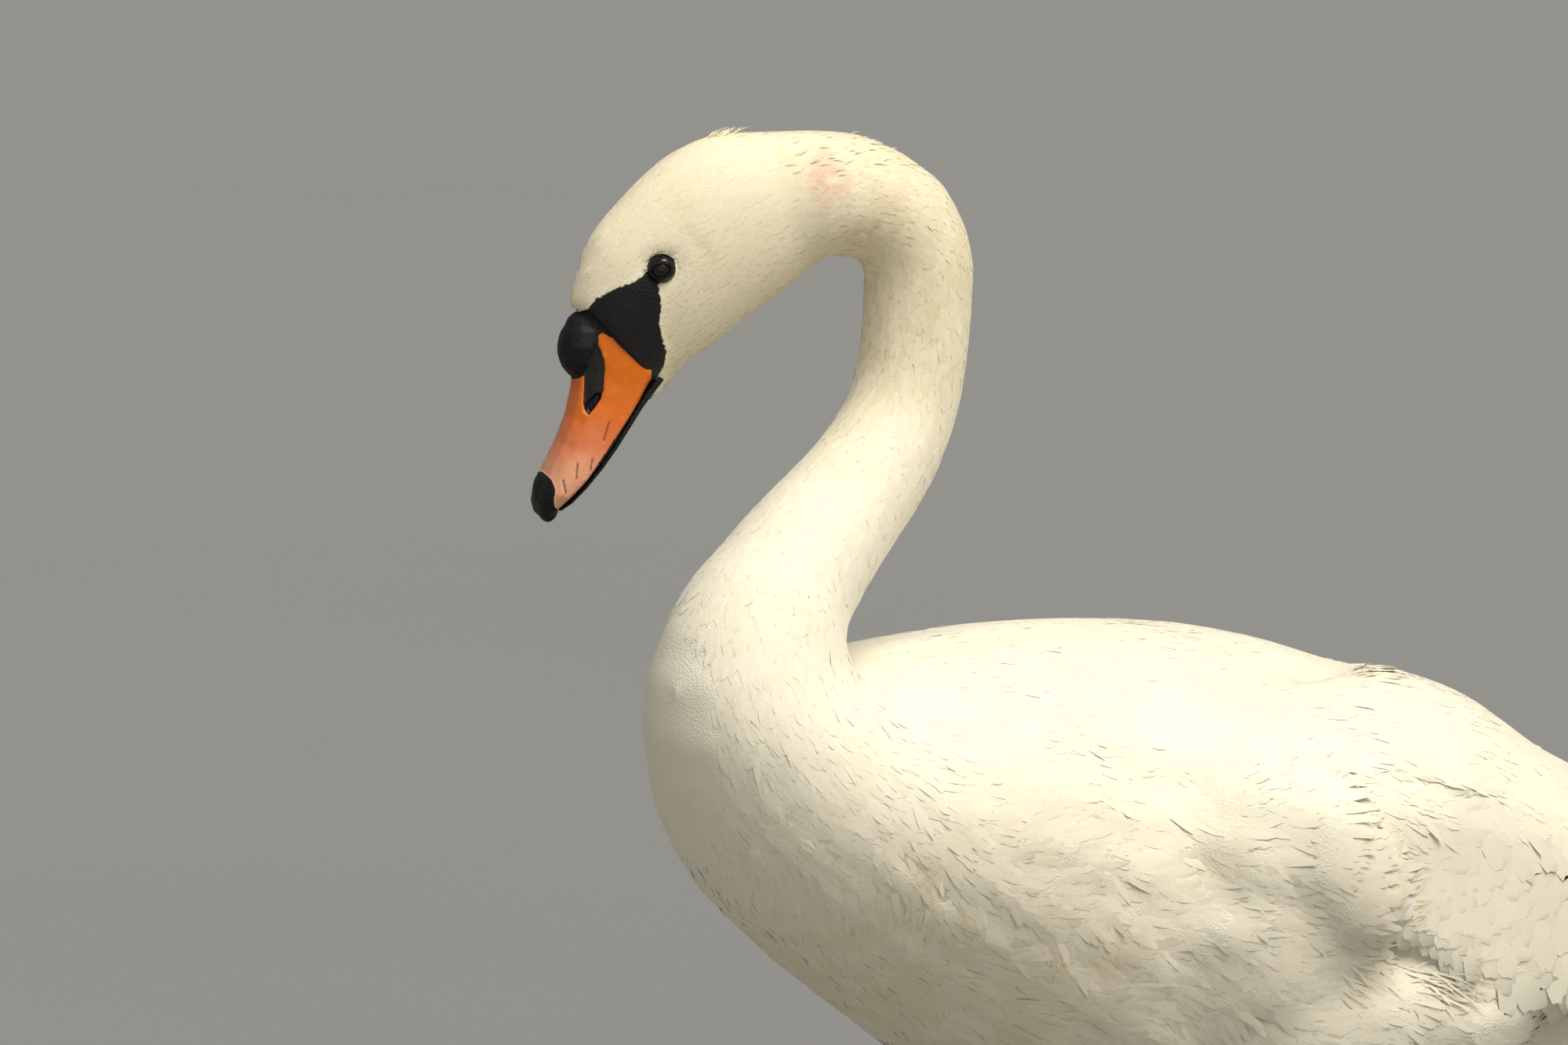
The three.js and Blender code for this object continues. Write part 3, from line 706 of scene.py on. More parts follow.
bill = {
    "voxel": 0.8, "lowerVoxel": 0.8, "lowerReach": 6.5,
    # the orange field from the side: y, z
    "orange": [(-119, 133), (-114.5, 141), (-114, 151), (-111, 153.5), (-104, 150), (-97, 145.5), (-91, 140),
               (-86, 136.5), (-86.5, 131), (-91, 122.5), (-99.5, 112), (-107, 102), (-114, 92.5), (-120.5, 83),
               (-126, 74.5), (-130.5, 69.5), (-136, 68), (-145, 72), (-148, 95), (-130, 125)],
    # the slot the nostril lies in, the nostril, and the nail
    "groove": [(-114, 147.5), (-117, 142), (-118.5, 137), (-119.2, 131), (-119.3, 126), (-119.9, 121),
               (-119.9, 117.5), (-118.3, 114.8), (-115, 118.5), (-112.4, 122.5), (-111, 126.5), (-110.6, 132),
               (-110.1, 136), (-110.4, 140.5), (-111.8, 144.4), (-113.2, 148)],
    "nostril": [(-112.4, 125), (-115, 124.6), (-118, 122), (-119.8, 119), (-119.6, 116), (-118.1, 115.3),
                (-114.8, 118.7), (-112.3, 122)],
    "nail": [(-141, 88), (-137.5, 87), (-135.6, 84), (-134.9, 80), (-135.6, 76), (-135.3, 72.2), (-132.8, 69.4),
             (-130, 68.7), (-126, 68.5), (-126, 56), (-152, 56), (-152, 86)],
    "scratches": [[(-108.8, 111.3), (-111.5, 102.8)], [(-124.4, 92.2), (-125.4, 85.5)],
                  [(-117.2, 94.1), (-118.3, 88.9)], [(-131.4, 84.6), (-130.5, 78.6)]],
    "knob": ([0, -118, 148], [1.0, 1.0, 1.2], 13.0),  # middle, squash, size of its black
    "root": [((0, -115, 155), (9, 10.5, 8.5), 0)],  # fills the dip between the knob and the brow
    # how deep the slot, nostril and scratches go, and how proud the nail stands
    "grooveDepth": 1.1, "holeDepth": 2.2, "scratchDepth": 0.25, "nailRise": 0.4,
    # from the root to the tip
    "horn": [(0.0, (212, 104, 6)), (0.42, (222, 112, 38)), (0.68, (214, 118, 74)), (0.95, (222, 158, 122))],
    "tipHeight": 76, "rootHeight": 142,
}


def billFinish(name):
    finish = Finish(name)
    orange, groove, hole, marks = (finish.value(key) for key in ("orange", "groove", "hole", "marks"))
    height = finish.node("SeparateXYZ", None, {0: finish.position}, out="Z")
    towardTip = 1 - height.between(heightOf(bill["tipHeight"]), heightOf(bill["rootHeight"]))
    mottle = finish.noise(9, 3, 0.6)
    stops = [(place, linear(*colour)) for place, colour in bill["horn"]]
    warm = finish.node("ValToRGB", {"stops": stops}, {0: towardTip + (mottle - 0.5) * 0.25})
    drawn = finish.node("Mapping", None, {"Vector": finish.position, "Scale": (2.6, 1.4, 0.45)})
    streak = finish.noise(1.0, 2, 0.5, drawn)
    warm = finish.mix(streak.between(0.66, 0.78) * towardTip * 0.55, warm, linear(126, 58, 34))
    warm = finish.mix(finish.noise(4, 3).between(0.5, 0.8) * 0.35, warm, linear(236, 150, 66))
    warm = finish.mix((marks - 0.5 * finish.noise(1.5, 2)).between(0.1, 0.7) * 0.7, warm, linear(92, 50, 34))
    ragged = (orange + (finish.noise(1.8, 2) - 0.5) * 0.9).between(-0.25, 0.25)
    black = finish.mix(finish.noise(4, 4, 0.65).between(0.48, 0.72) * 0.6, linear(9, 8, 7), linear(32, 30, 28))
    colour = finish.mix(ragged, black, warm)
    slot = (groove + (finish.noise(1.5, 2) - 0.5) * 0.35).between(0.35, 0.6)
    colour = finish.mix(slot, colour, linear(30, 28, 27))
    # painted shade: the nostril opening is coloured near black
    colour = finish.mix(hole.between(0.3, 0.6), colour, linear(6, 5, 5))
    pits = finish.bump(finish.cells(1.3) * (1 - ragged) + finish.noise(0.8, 3) * 0.5, 0.16)
    return finish.shade(baseColor=colour, roughness=0.36 + 0.24 * (1 - ragged), normal=pits, specular=0.3,
                        coat=0.1 * ragged, coatRoughness=0.3)


def makeUpperBill():
    mesh = wrap(["bill_upper", "bill_knob", "bill_nail"], bill["voxel"], 0.2, onHead(bill["root"]))
    co, _ = arraysOf(mesh)
    relax(mesh, 16, np.where(toFace(co)[:, 2] < 80, 0.55, 1.0))
    co, _ = arraysOf(mesh)
    normal = normalsOf(mesh)
    face = toFace(co)
    side = face[:, 1:]
    flank = smoothstep(2, 6, np.abs(face[:, 0]))
    groove = smoothstep(-0.6, 0.5, -toOutline(side, bill["groove"])) * flank
    hole = smoothstep(-0.4, 0.5, -toOutline(side, bill["nostril"])) * flank
    marks = np.min([toLine(side, line) for line in bill["scratches"]], axis=0)
    marks = (1 - smoothstep(0.3, 0.9, marks)) * (face[:, 0] > 0)
    nail = smoothstep(0.6, -0.6, toOutline(side, bill["nail"]))
    middle, squash, size = bill["knob"]
    knob = np.linalg.norm((face - middle) / squash, axis=1)
    orange = np.minimum(-toOutline(side, bill["orange"]), knob - size)
    cut = bill["grooveDepth"] * groove + bill["holeDepth"] * hole + bill["scratchDepth"] * marks
    putBack(mesh, co - normal * (cut - bill["nailRise"] * nail)[:, None] / 1000)
    setValue(mesh, "orange", np.clip(np.minimum(orange, 8 - 16 * nail), -8, 8))
    setValue(mesh, "groove", groove)
    setValue(mesh, "hole", hole)
    setValue(mesh, "marks", marks)
    smoothed(mesh)
    piece = objectOf("bill", mesh, billFinish("bill horn"))
    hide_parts("bill_upper", "bill_knob", "bill_nail")
    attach(piece, "root")
    print("bill", len(mesh.polygons))


def makeLowerBill():
    mesh = wrap(["bill_lower"], bill["lowerVoxel"], 0.1)
    relax(mesh, 5)
    co, _ = arraysOf(mesh)
    face = toFace(co)
    # its rear end runs up into the corner of the mouth
    way = unit(np.array([0, 0.62, 0.78]))
    along = face @ way
    face = face + way * (bill["lowerReach"] * smoothstep(along.max() - 12, along.max() - 1, along))[:, None]
    putBack(mesh, toRoom(turnHead(face)))
    for key, level in (("marks", 0), ("orange", -3), ("groove", 0), ("hole", 0)):
        setValue(mesh, key, np.full(len(face), level, float))
    smoothed(mesh)
    piece = objectOf("lower_bill", mesh, billFinish("lower bill horn"))
    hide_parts("bill_lower")
    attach(piece, "root")
    print("lower bill", len(mesh.polygons))


makeUpperBill()
makeLowerBill()

eyes = {
    "bulge": 0.35,
    # from the middle of the eye to its edge
    "colours": [(0.0, (3, 3, 3)), (0.29, (4, 3, 3)), (0.33, (24, 14, 9)), (0.6, (15, 9, 6)), (0.72, (6, 5, 4))],
    # half the length and height of the opening, width of the rim, furthest reach
    "lidLength": 4.0, "lidHeight": 2.95, "lidWidth": 1.75, "lidReach": 7.4,
}


def eyeFinish():
    finish = Finish("eye")
    ring = finish.value("ring")  # 0 at the middle of the eye
    fibres = finish.noise(0.5, 2)
    stops = [(place, linear(*colour)) for place, colour in eyes["colours"]]
    colour = finish.node("ValToRGB", {"stops": stops}, {0: ring + (fibres - 0.5) * 0.03})
    return finish.shade(baseColor=colour, roughness=0.16, coat=0.25, coatRoughness=0.04, specular=0.35)


def eyePlace(side):
    # the eyeball's middle and the way it looks, with the head straight
    outward, forward, upward = eyeball["axis"]
    middle = np.array([side * eyeball["spread"], eyeball["back"], eyeball["height"]], float)
    return middle, unit(np.array([side * outward, forward, upward]))


def makeEyes(finish):
    for side, name in ((1, "left"), (-1, "right")):
        middle, axis = eyePlace(side)
        ball = bmesh.new()
        bmesh.ops.create_uvsphere(ball, u_segments=48, v_segments=32, radius=1)
        mesh = bpy.data.meshes.new("eye")
        ball.to_mesh(mesh)
        ball.free()
        co, _ = arraysOf(mesh)
        pole = np.arccos(np.clip(co[:, 2], -1, 1))
        radius = eyeball["radius"] + eyes["bulge"] * (1 - smoothstep(0.0, 0.75, pole))
        turn = np.array(Vector(axis).to_track_quat("Z", "Y").to_matrix())
        putBack(mesh, toRoom(turnHead(middle + (co * radius[:, None]) @ turn.T)))
        setValue(mesh, "ring", np.sin(np.minimum(pole, math.pi / 2)))
        smoothed(mesh)
        piece = objectOf("eyeball_" + name, mesh, finish)
        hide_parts("eye_" + name)
        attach(piece, "root")


def lidMesh(side):
    # a thin rolled rim round an almond opening, lying on the eyeball
    middle, axis = eyePlace(side)
    slant = np.array([0, 1.0, 0.28])
    rear = unit(slant - axis * np.dot(axis, slant))
    upward = np.cross(axis, rear) * side
    rings = []
    for k in range(64):
        turn = 2 * math.pi * k / 64
        corner = 1 + 0.16 * max(math.cos(turn), 0) ** 6 + 0.08 * max(-math.cos(turn), 0) ** 6
        ring = []
        for j in range(10):
            around = 2 * math.pi * j / 10
            level = 0.5 - 0.5 * math.cos(around)  # 0 at the opening, 1 at the outer edge
            lift = 0.28 + 0.42 * math.sin(around) - 0.75 * level**2
            a = (eyes["lidLength"] + eyes["lidWidth"] * level) * corner
            b = eyes["lidHeight"] + eyes["lidWidth"] * level
            flat = rear * math.cos(turn) * a + upward * math.sin(turn) * b
            reach = min(float(np.linalg.norm(flat)), eyes["lidReach"])
            radius = eyeball["radius"] + 0.45 + lift * 0.8
            rise = math.sqrt(max((eyeball["radius"] + 0.4) ** 2 - reach**2, 0.0))
            direction = unit(flat / max(np.linalg.norm(flat), 1e-6) * reach + axis * rise)
            ring.append(toRoom(turnHead(middle + direction * radius)))
        rings.append(ring)
    return ringMesh(rings)


def lidFinish():
    finish = Finish("eyelid")
    folds = finish.noise(0.9, 3, 0.6)
    colour = finish.mix(folds, linear(9, 7, 8), linear(30, 22, 24))
    return finish.shade(baseColor=colour, roughness=0.7, specular=0.2, normal=finish.bump(folds, 0.15))


makeEyes(eyeFinish())
lids = lidFinish()
for side, name in ((1, "left"), (-1, "right")):
    mesh = lidMesh(side)
    smoothed(mesh)
    rim = objectOf("eyelid_" + name, mesh, lids)
    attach(rim, "root")
print("eyes set")

claws = {"voxel": 0.6, "dark": (18, 17, 16), "pale": (58, 54, 48)}


def makeClaws():
    names = [f"claw_{side}_{toe}" for side in ("left", "right") for toe in ("inner", "middle", "outer")]
    mesh = wrap(names, claws["voxel"], 0.15)
    relax(mesh, 4)
    smoothed(mesh)
    finish = Finish("claw horn")
    layers = finish.noise(2.5, 3, 0.6)
    finish.shade(baseColor=finish.mix(layers, linear(*claws["dark"]), linear(*claws["pale"])), roughness=0.38,
                 normal=finish.bump(layers, 0.12))
    piece = objectOf("claws", mesh, finish.material)
    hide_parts(*names)
    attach(piece, "root")


makeClaws()
print("claws set")


class Vane:
    # one feather's pattern: a thin closed leaf of columns and rows, ending in a point or in an edge
    def __init__(self, widths, stops, tips, pointed=False):
        c, last = len(tips), len(stops) - 1
        points = []
        for stop, width in zip(stops, widths):
            for v, tip in zip(np.linspace(-1, 1, c), tips):
                reach = stop * (1 + (tip - 1) * stop**3)
                rise = (1 - v * v) * min(1, width * 1.2) * (1 - 0.85 * stop**2)
                points.append((reach, v * width, rise, stop))
        end, left = len(points), last * c
        right = left + c - 1
        faces = []
        for i in range(last):
            for j in range(c - 1):
                k = i * c + j
                faces.append([k, k + c, k + c + 1, k + 1])
        below = [[i * c + c - 1, (i + 1) * c + c - 1, (i + 1) * c, i * c] for i in range(last)]
        if pointed:
            points.append((1, 0, 0, 1))
            faces += [[left + j, end, left + j + 1] for j in range(c - 1)]
            below.append([right, end, left])
        else:
            points += [(reach, v, -0.6, stop) for reach, v, _, stop in points[-c:]]
            faces += [[left + j, end + j, end + j + 1, left + j + 1] for j in range(c - 1)]
            faces += [[left - c, end, left], [left - 1, right, end + c - 1]]
            below[-1] = [left - 1] + [end + j for j in range(c)][::-1] + [left - c]
        above = len(faces)
        faces += below + [list(range(c))]
        self.points, self.faces = np.array(points, float), faces
        self.loops = np.array([v for face in faces for v in face])
        self.sizes = np.array([len(face) for face in faces])
        self.rim = 0 if pointed else c
        self.round = np.arange(len(faces)) < above  # only the upper side is shaded smooth


lock = Vane((0.45, 1.0, 0.8), (0, 0.35, 0.75), (1, 1, 1), pointed=True)
strand = Vane((0.5, 1.0, 0.7), (0, 0.42, 0.8), (1, 1, 1), pointed=True)
wisp = Vane((0.6, 1.0, 0.6), (0, 0.3, 0.7), (1, 1, 1), pointed=True)
leaf = Vane((0.4, 0.85, 1.0, 0.96, 0.62), (0, 0.3, 0.6, 0.86, 1), (0.86, 0.97, 1.0, 0.97, 0.86))
quill = Vane((0.25, 0.75, 0.95, 1.0, 1.0, 0.98, 0.9, 0.7, 0.36), (0, 0.1, 0.25, 0.42, 0.6, 0.76, 0.88, 0.96, 1),
             (0.93, 0.975, 1.0, 0.975, 0.93))

feathering = {
    "roundness": 0.78,  # how far the upper sides take on the body's own shading
    "patch": 0.003,  # size of a feather's place on the unwrap
    # distance down the bird: spacing, length, half width, lift
    "sizes": [(0, 1.4, 4.5, 0.9, 0.18), (30, 1.6, 6.0, 1.1, 0.2), (90, 1.8, 8, 1.3, 0.24), (200, 2.1, 10, 1.6, 0.28),
              (330, 2.5, 13, 2.1, 0.28), (420, 2.5, 16, 2.1, 0.28), (520, 2.6, 19, 2.3, 0.28),
              (700, 2.8, 23, 2.5, 0.28), (1000, 3.3, 28, 3.2, 0.3), (1250, 3.3, 28, 3.2, 0.3)],
    # from and to down the bird, side, pattern, spread of the lie, seed
    "pieces": {
        "head_down": (-1000, 130, 0, lock, 0.12, 11),
        "neck_coat": (130, 400, 0, lock, 0.12, 12),
        "breast_coat_left": (400, 760, 1, strand, 0.2, 13),
        "breast_coat_right": (400, 760, -1, strand, 0.2, 14),
        "rear_coat_left": (760, 5000, 1, strand, 0.14, 15),
        "rear_coat_right": (760, 5000, -1, strand, 0.14, 16),
    },
    "seed": 4, "stumpFrom": 640, "bareEdge": 0.4,
    "shadeBehindEye": [(-76, 201), (-64, 188)],  # painted shade along the crease behind each eye, on both sides of the head: y, z
}


class Coat:
    # feathers gathered into one piece
    def __init__(self, name):
        self.name, self.parts = name, []

    def add(self, vane, laid, toneAndShade, spots):
        # laid: points of each feather and the way the body faces there; spots: each root's place on the unwrap
        self.parts.append((vane, *laid, toneAndShade, spots))

    def finish(self, material, replaced=()):
        soft, patch = feathering["roundness"], feathering["patch"]
        co, loops, sizes, toneAndShade, uv, smooth, facing, start = [], [], [], [], [], [], [], 0
        for vane, places, ways, tones, spots in self.parts:
            n, m = places.shape[:2]
            co.append(places.reshape(-1, 3))
            a, b, d = (places[:, vane.loops[k]] for k in (0, 1, 3))
            turn = 1 if (np.cross(b - a, d - a) * ways[:, 0]).sum() > 0 else -1  # faces look outwards on both sides
            corners = vane.loops[::turn]
            loops.append((start + np.arange(n)[:, None] * m + corners).ravel())
            sizes.append(np.tile(vane.sizes[::turn], n))
            smooth.append(np.tile(vane.round[::turn], n))
            toneAndShade.append(np.repeat(tones, m))
            facing.append(ways.reshape(-1, 3))
            spread = np.stack([vane.points[:, 1] * (patch / 2), (vane.points[:, 3] - 0.5) * patch], 1)
            uv.append((spots[:, None] + spread)[:, corners].reshape(-1, 2))
            start += n * m
        co, loops, sizes = np.concatenate(co), np.concatenate(loops), np.concatenate(sizes)
        mesh = bpy.data.meshes.new(self.name)
        mesh.vertices.add(len(co))
        mesh.vertices.foreach_set("co", co.astype(np.float32).ravel())
        mesh.loops.add(len(loops))
        mesh.loops.foreach_set("vertex_index", loops.astype(np.int32))
        mesh.polygons.add(len(sizes))
        mesh.polygons.foreach_set("loop_start", np.concatenate([[0], np.cumsum(sizes)[:-1]]).astype(np.int32))
        mesh.update(calc_edges=True)
        layer = mesh.uv_layers.new(name="OFBake")
        layer.data.foreach_set("uv", np.clip(np.concatenate(uv), 0, 1).astype(np.float32).ravel())
        setValue(mesh, "toneAndShade", np.concatenate(toneAndShade))
        smooth = np.concatenate(smooth)
        mesh.polygons.foreach_set("use_smooth", smooth)
        mesh.update()
        # the upper sides take on some of the body's own roundness, so the coat looks soft
        own = np.empty(len(loops) * 3, np.float32)
        mesh.corner_normals.foreach_get("vector", own)
        own = own.reshape(-1, 3)
        upper = np.repeat(smooth, sizes)[:, None]
        own = unit(own * (1 - soft) + np.concatenate(facing)[loops] * np.where(upper, soft, -soft))
        shading = mesh.attributes.new("custom_normal", "FLOAT_VECTOR", "CORNER")
        shading.data.foreach_set("vector", own.astype(np.float32).ravel())
        mesh.update()
        piece = objectOf(self.name, mesh, material)
        if replaced:
            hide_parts(*replaced)
        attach(piece, "root")
        print(self.name, len(co), "points", int((sizes - 2).sum()), "triangles")


class Surface:
    # the skin as arrays, for planting feathers on
    def __init__(self, mesh):
        mesh.calc_loop_triangles()
        self.co, _ = arraysOf(mesh)
        tris = np.empty(len(mesh.loop_triangles) * 3, np.int32)
        mesh.loop_triangles.foreach_get("vertices", tris)
        self.tris = tris.reshape(-1, 3)
        self.normal = normalsOf(mesh)
        a, b, c = (self.co[self.tris[:, k]] for k in range(3))
        self.area = np.linalg.norm(np.cross(b - a, c - a), axis=1) / 2
        self.tree = BVHTree.FromPolygons(self.co.tolist(), self.tris.tolist())

    def scatter(self, spacing, allowed, seed):
        # spacing in mm for each vertex; places no nearer to one another than that
        rng = np.random.default_rng(seed)
        tries = 5  # more than enough for the gaps to fill up
        gap = spacing[self.tris].mean(1)
        weight = self.area * 1e6 / gap**2 * allowed[self.tris].all(1)
        total = weight.sum()
        picks = np.searchsorted(np.cumsum(weight), rng.random(int(total * tries)) * total)
        picks = np.minimum(picks, len(self.tris) - 1)
        u, v = rng.random(len(picks)), rng.random(len(picks))
        flip = u + v > 1
        u[flip], v[flip] = 1 - u[flip], 1 - v[flip]
        share = np.stack([1 - u - v, u, v], 1)[:, :, None]
        places = (self.co[self.tris[picks]] * share).sum(1)
        normals = unit((self.normal[self.tris[picks]] * share).sum(1))
        gaps = gap[picks] / 1000
        tree = KDTree(len(places))
        for i, p in enumerate(places):
            tree.insert(p, i)
        tree.balance()
        free = np.ones(len(places), bool)
        kept = []
        for i in range(len(places)):
            if free[i]:
                kept.append(i)
                for _, j, _ in tree.find_range(places[i], gaps[i]):
                    free[j] = False
        return places[kept], normals[kept]

    def drop(self, places, normals):
        # how far the surface lies above or below each place, along its normal
        hits, ways = np.empty((len(places), 3)), np.empty((len(places), 3))
        near = self.tree.find_nearest
        for i, p in enumerate(places):
            hits[i], ways[i] = near(p)[:2]
        return ((hits - places) * normals).sum(1), ways


def plant(ground, places, normals, lie, length, width, lift, crown, rng, vane, sway):
    # lays one pattern at every place, hugging the skin; lengths in mm
    n = len(places)
    lie = unit(lie - (lie * normals).sum(1, keepdims=True) * normals)
    yaw = rng.normal(0, sway, n)[:, None]
    lie = unit(lie * np.cos(yaw) + np.cross(normals, lie) * np.sin(yaw))
    aside = np.cross(normals, lie)
    long, wide = (length / 1000)[:, None], (width / 1000)[:, None]
    tipDrop, tipWay = ground.drop(places + lie * long, normals)
    leftDrop = ground.drop(places + lie * long * 0.6 - aside * wide, normals)[0] - tipDrop * 0.36
    rightDrop = ground.drop(places + lie * long * 0.6 + aside * wide, normals)[0] - tipDrop * 0.36
    leftDrop, rightDrop = (np.clip(d, -0.25 * wide[:, 0], 0) for d in (leftDrop, rightDrop))
    limit = 0.7 * long[:, 0]
    tipDrop = np.clip(tipDrop, -limit, limit)
    along, across, rise, _ = vane.points.T
    bend = rng.normal(0, 0.07, n)[:, None]
    ragged = 1 + rng.normal(0, 0.04 if vane.rim else 0.06, (n, len(along))) * (along > 0.8)
    if vane.rim:
        ragged[:, -vane.rim:] = ragged[:, -2 * vane.rim:-vane.rim]
    reach = along * ragged
    x = long * reach
    y = wide * across + long * bend * reach**2
    edge = np.where(across < 0, leftDrop[:, None], rightDrop[:, None]) * across**2
    lifted = (lift / 1000)[:, None] * (np.minimum(reach, 1) * 1.5 - 0.5 * reach**3) + (crown / 1000)[:, None] * rise
    z = lifted + tipDrop[:, None] * reach**2 + edge * 0.9 - 0.0003 * (along < 0.01)  # the root sits in the skin
    share = np.clip(reach, 0, 1)[..., None]
    ways = unit(normals[:, None] * (1 - share) + tipWay[:, None] * share)
    points = places[:, None] + lie[:, None] * x[..., None] + aside[:, None] * y[..., None]
    return points + normals[:, None] * z[..., None], ways


ground = Surface(skinMesh)
groundSpot, groundFace = toBird(ground.co), toFace(ground.co)
groundTravel = followGuide(groundSpot)[1]
sizeTable = np.array(feathering["sizes"], float)
print("ground ready")


def coatSize(travel, column):
    return np.interp(travel, sizeTable[:, 0], sizeTable[:, column])


def featherable():
    # everywhere but the eye rims, the bare black skin, the legs and inside the mouth corner
    out, aside, _ = fromEye(groundFace)
    eyeRim = (out > -3) & (groundFace[:, 2] > 150) & (aside < lores["eyeRing"] + 0.3)
    legs = groundSpot[:, 2] + bird["backHeight"] < skinSettings["ankleHeight"] + 14
    mouthCorner = (groundFace[:, 1] < -80) & (groundFace[:, 2] < 132)
    return ~eyeRim & (loresDistance(groundFace) > feathering["bareEdge"]) & ~legs & ~mouthCorner


def ownersOf(places):
    # which solid each place lies on
    names, verts, faces, owner = skinSettings["nodes"], [], [], []
    for name in names:
        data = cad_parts[name].data
        start = len(verts)
        verts += [tuple(v.co) for v in data.vertices]
        faces += [[start + i for i in face.vertices] for face in data.polygons]
        owner += [name] * len(data.polygons)
    tree = BVHTree.FromPolygons(verts, faces)
    return np.array([owner[tree.find_nearest(p)[2]] for p in places])


places, normals = ground.scatter(coatSize(groundTravel, 1), featherable(), feathering["seed"])
spots = toBird(places)
owners = ownersOf(places)
onWing = np.char.startswith(owners, "wing_") | np.char.startswith(owners, "flight_")


panel = {
    # where coverts and long feathers are laid in rows instead: front edge as depth and y, upper edge as y and z
    "front": ([55, 78, 97, 112, 128, 150, 190], [225, 190, 205, 216, 217, 207, 190]),
    "upper": ([220, 260, 420, 520], [-122, -104, -112, -90]),
    "rear": 520, "edge": 3.0, "covertEdge": 0.5,
}


def onPanel(spot, edge):
    behindLobe = spot[:, 1] > np.interp(-spot[:, 2], *panel["front"])
    low = spot[:, 2] < np.interp(spot[:, 1], *panel["upper"]) - edge
    return (behindLobe & (lobeDistance(spot) < -edge) & low) | (spot[:, 1] > panel["rear"])


kept = ~(onWing & onPanel(spots, panel["edge"])) & ~(spots[:, 1] > feathering["stumpFrom"])
places, normals, spots = (a[kept] for a in (places, normals, spots))
lie, travel, angle = followGuide(spots)
print("places", len(places))


def wander(spots, travel):
    # the lie swings to and fro on breast and flank
    amount = 0.10 + 0.28 * smoothstep(380, 520, travel) * smoothstep(1000, 700, travel)
    return amount * ripple(spots, 70, 3)


def layCoat(name, chosen, vane, material, sway, seed):
    rng = np.random.default_rng(seed)
    p, n, d, t, a = places[chosen], normals[chosen], lie[chosen], travel[chosen], angle[chosen]
    swing = wander(spots[chosen], t)[:, None]
    d = unit(d - (d * n).sum(1, keepdims=True) * n)
    d = unit(d * np.cos(swing) + np.cross(n, d) * np.sin(swing))
    count = len(p)
    length = coatSize(t, 2) * rng.uniform(0.8, 1.2, count)
    width = coatSize(t, 3) * rng.uniform(0.8, 1.2, count)
    lift = coatSize(t, 4) * rng.uniform(0.75, 1.15, count)
    laid = plant(ground, p, n, d, length, width, lift, 0.05 * width + 0.08, rng, vane, sway)
    low, high = t.min(), t.max()
    uv = np.stack([0.03 + 0.94 * (a / (2 * math.pi) + 0.5), 0.03 + 0.94 * (t - low) / (high - low)], 1)
    # the neck behind the smooth head is more streaked and darker: partly duller plumage, partly painted shade
    neckStreakAndShade = smoothstep(118, 150, t) * smoothstep(360, 270, t)
    toneAndShade = rng.random(count) * (0.45 + 0.7 * neckStreakAndShade) + neckStreakAndShade * (0.45 + 0.35 * ripple(spots[chosen], 20, 5))
    # painted shade along the crease behind the eye, added to the tone
    shadeBehindEye = toLine(toFace(p)[:, 1:], feathering["shadeBehindEye"])
    toneAndShade = toneAndShade + 1.6 * np.exp(-(shadeBehindEye / 2.2) ** 2) * (t < 130)
    coat = Coat(name)
    coat.add(vane, laid, toneAndShade, uv)
    coat.finish(material)


whiteCoat = plumageFinish("plumage")
for name, (first, last, side, vane, sway, seed) in feathering["pieces"].items():
    chosen = (travel >= first) & (travel < last)
    if side:
        chosen &= (spots[:, 0] >= 0) == (side > 0)
    layCoat(name, chosen, vane, whiteCoat, sway, seed)
print("body coat laid")

stray = {
    # middle, spread, lie, length, half width, lift, count; head ones are given with the head straight
    "crown": ((0, -50, 243), (5, 7, 5), (0, 1, 0.1), 10, 0.6, 3.2, 22),
    "arch": ((-4, 6, 236), (14, 34, 10), (0, 1, -0.1), 9, 0.5, 2.2, 34),
    "nape": ((4, 92, 186), (7, 4, 6), (0, 0.5, -1), 10, 0.6, 3.4, 12),
    "behindLobe": ((158, 226, -134), (1, 3, 19), (0, 1, 0.22), 13, 0.7, 2.2, 20),
    "underWing": ((150, 246, -176), (2, 20, 9), (0, 1, -0.28), 32, 0.8, 2.6, 64),
    "underLobe": ((150, 205, -164), (2, 22, 10), (0, 1, -0.5), 24, 0.8, 1.8, 40),
}


def layStray(side, name, material):
    rng = np.random.default_rng(70 + side)
    coat = Coat("stray_feathers_" + name)
    for key, (middle, spread, way, long, wide, high, count) in stray.items():
        if side < 0 and key in ("crown", "arch", "nape"):
            continue
        x, y, z = middle
        seeds = np.array([side * x, y, z]) + rng.uniform(-1, 1, (count, 3)) * spread
        seeds = toRoom(turnHead(seeds) if key == "crown" else seeds)
        hits = [ground.tree.find_nearest(q)[:2] for q in seeds]
        start, n = (np.array([h[k] for h in hits]) for k in (0, 1))
        ways = np.tile(unit(np.array(way, float)), (count, 1)) * [side, 1, 1]
        laid = plant(ground, start, n, ways, long * rng.uniform(0.7, 1.2, count), wide * rng.uniform(0.8, 1.2, count),
                     high * rng.uniform(0.4, 1.1, count), 0.12 + np.zeros(count), rng, wisp, 0.22)
        coat.add(wisp, laid, rng.random(count) * 0.4, rng.uniform(0.05, 0.95, (count, 2)))
    coat.finish(material)


layStray(1, "left", whiteCoat)
layStray(-1, "right", whiteCoat)
print("stray feathers laid")

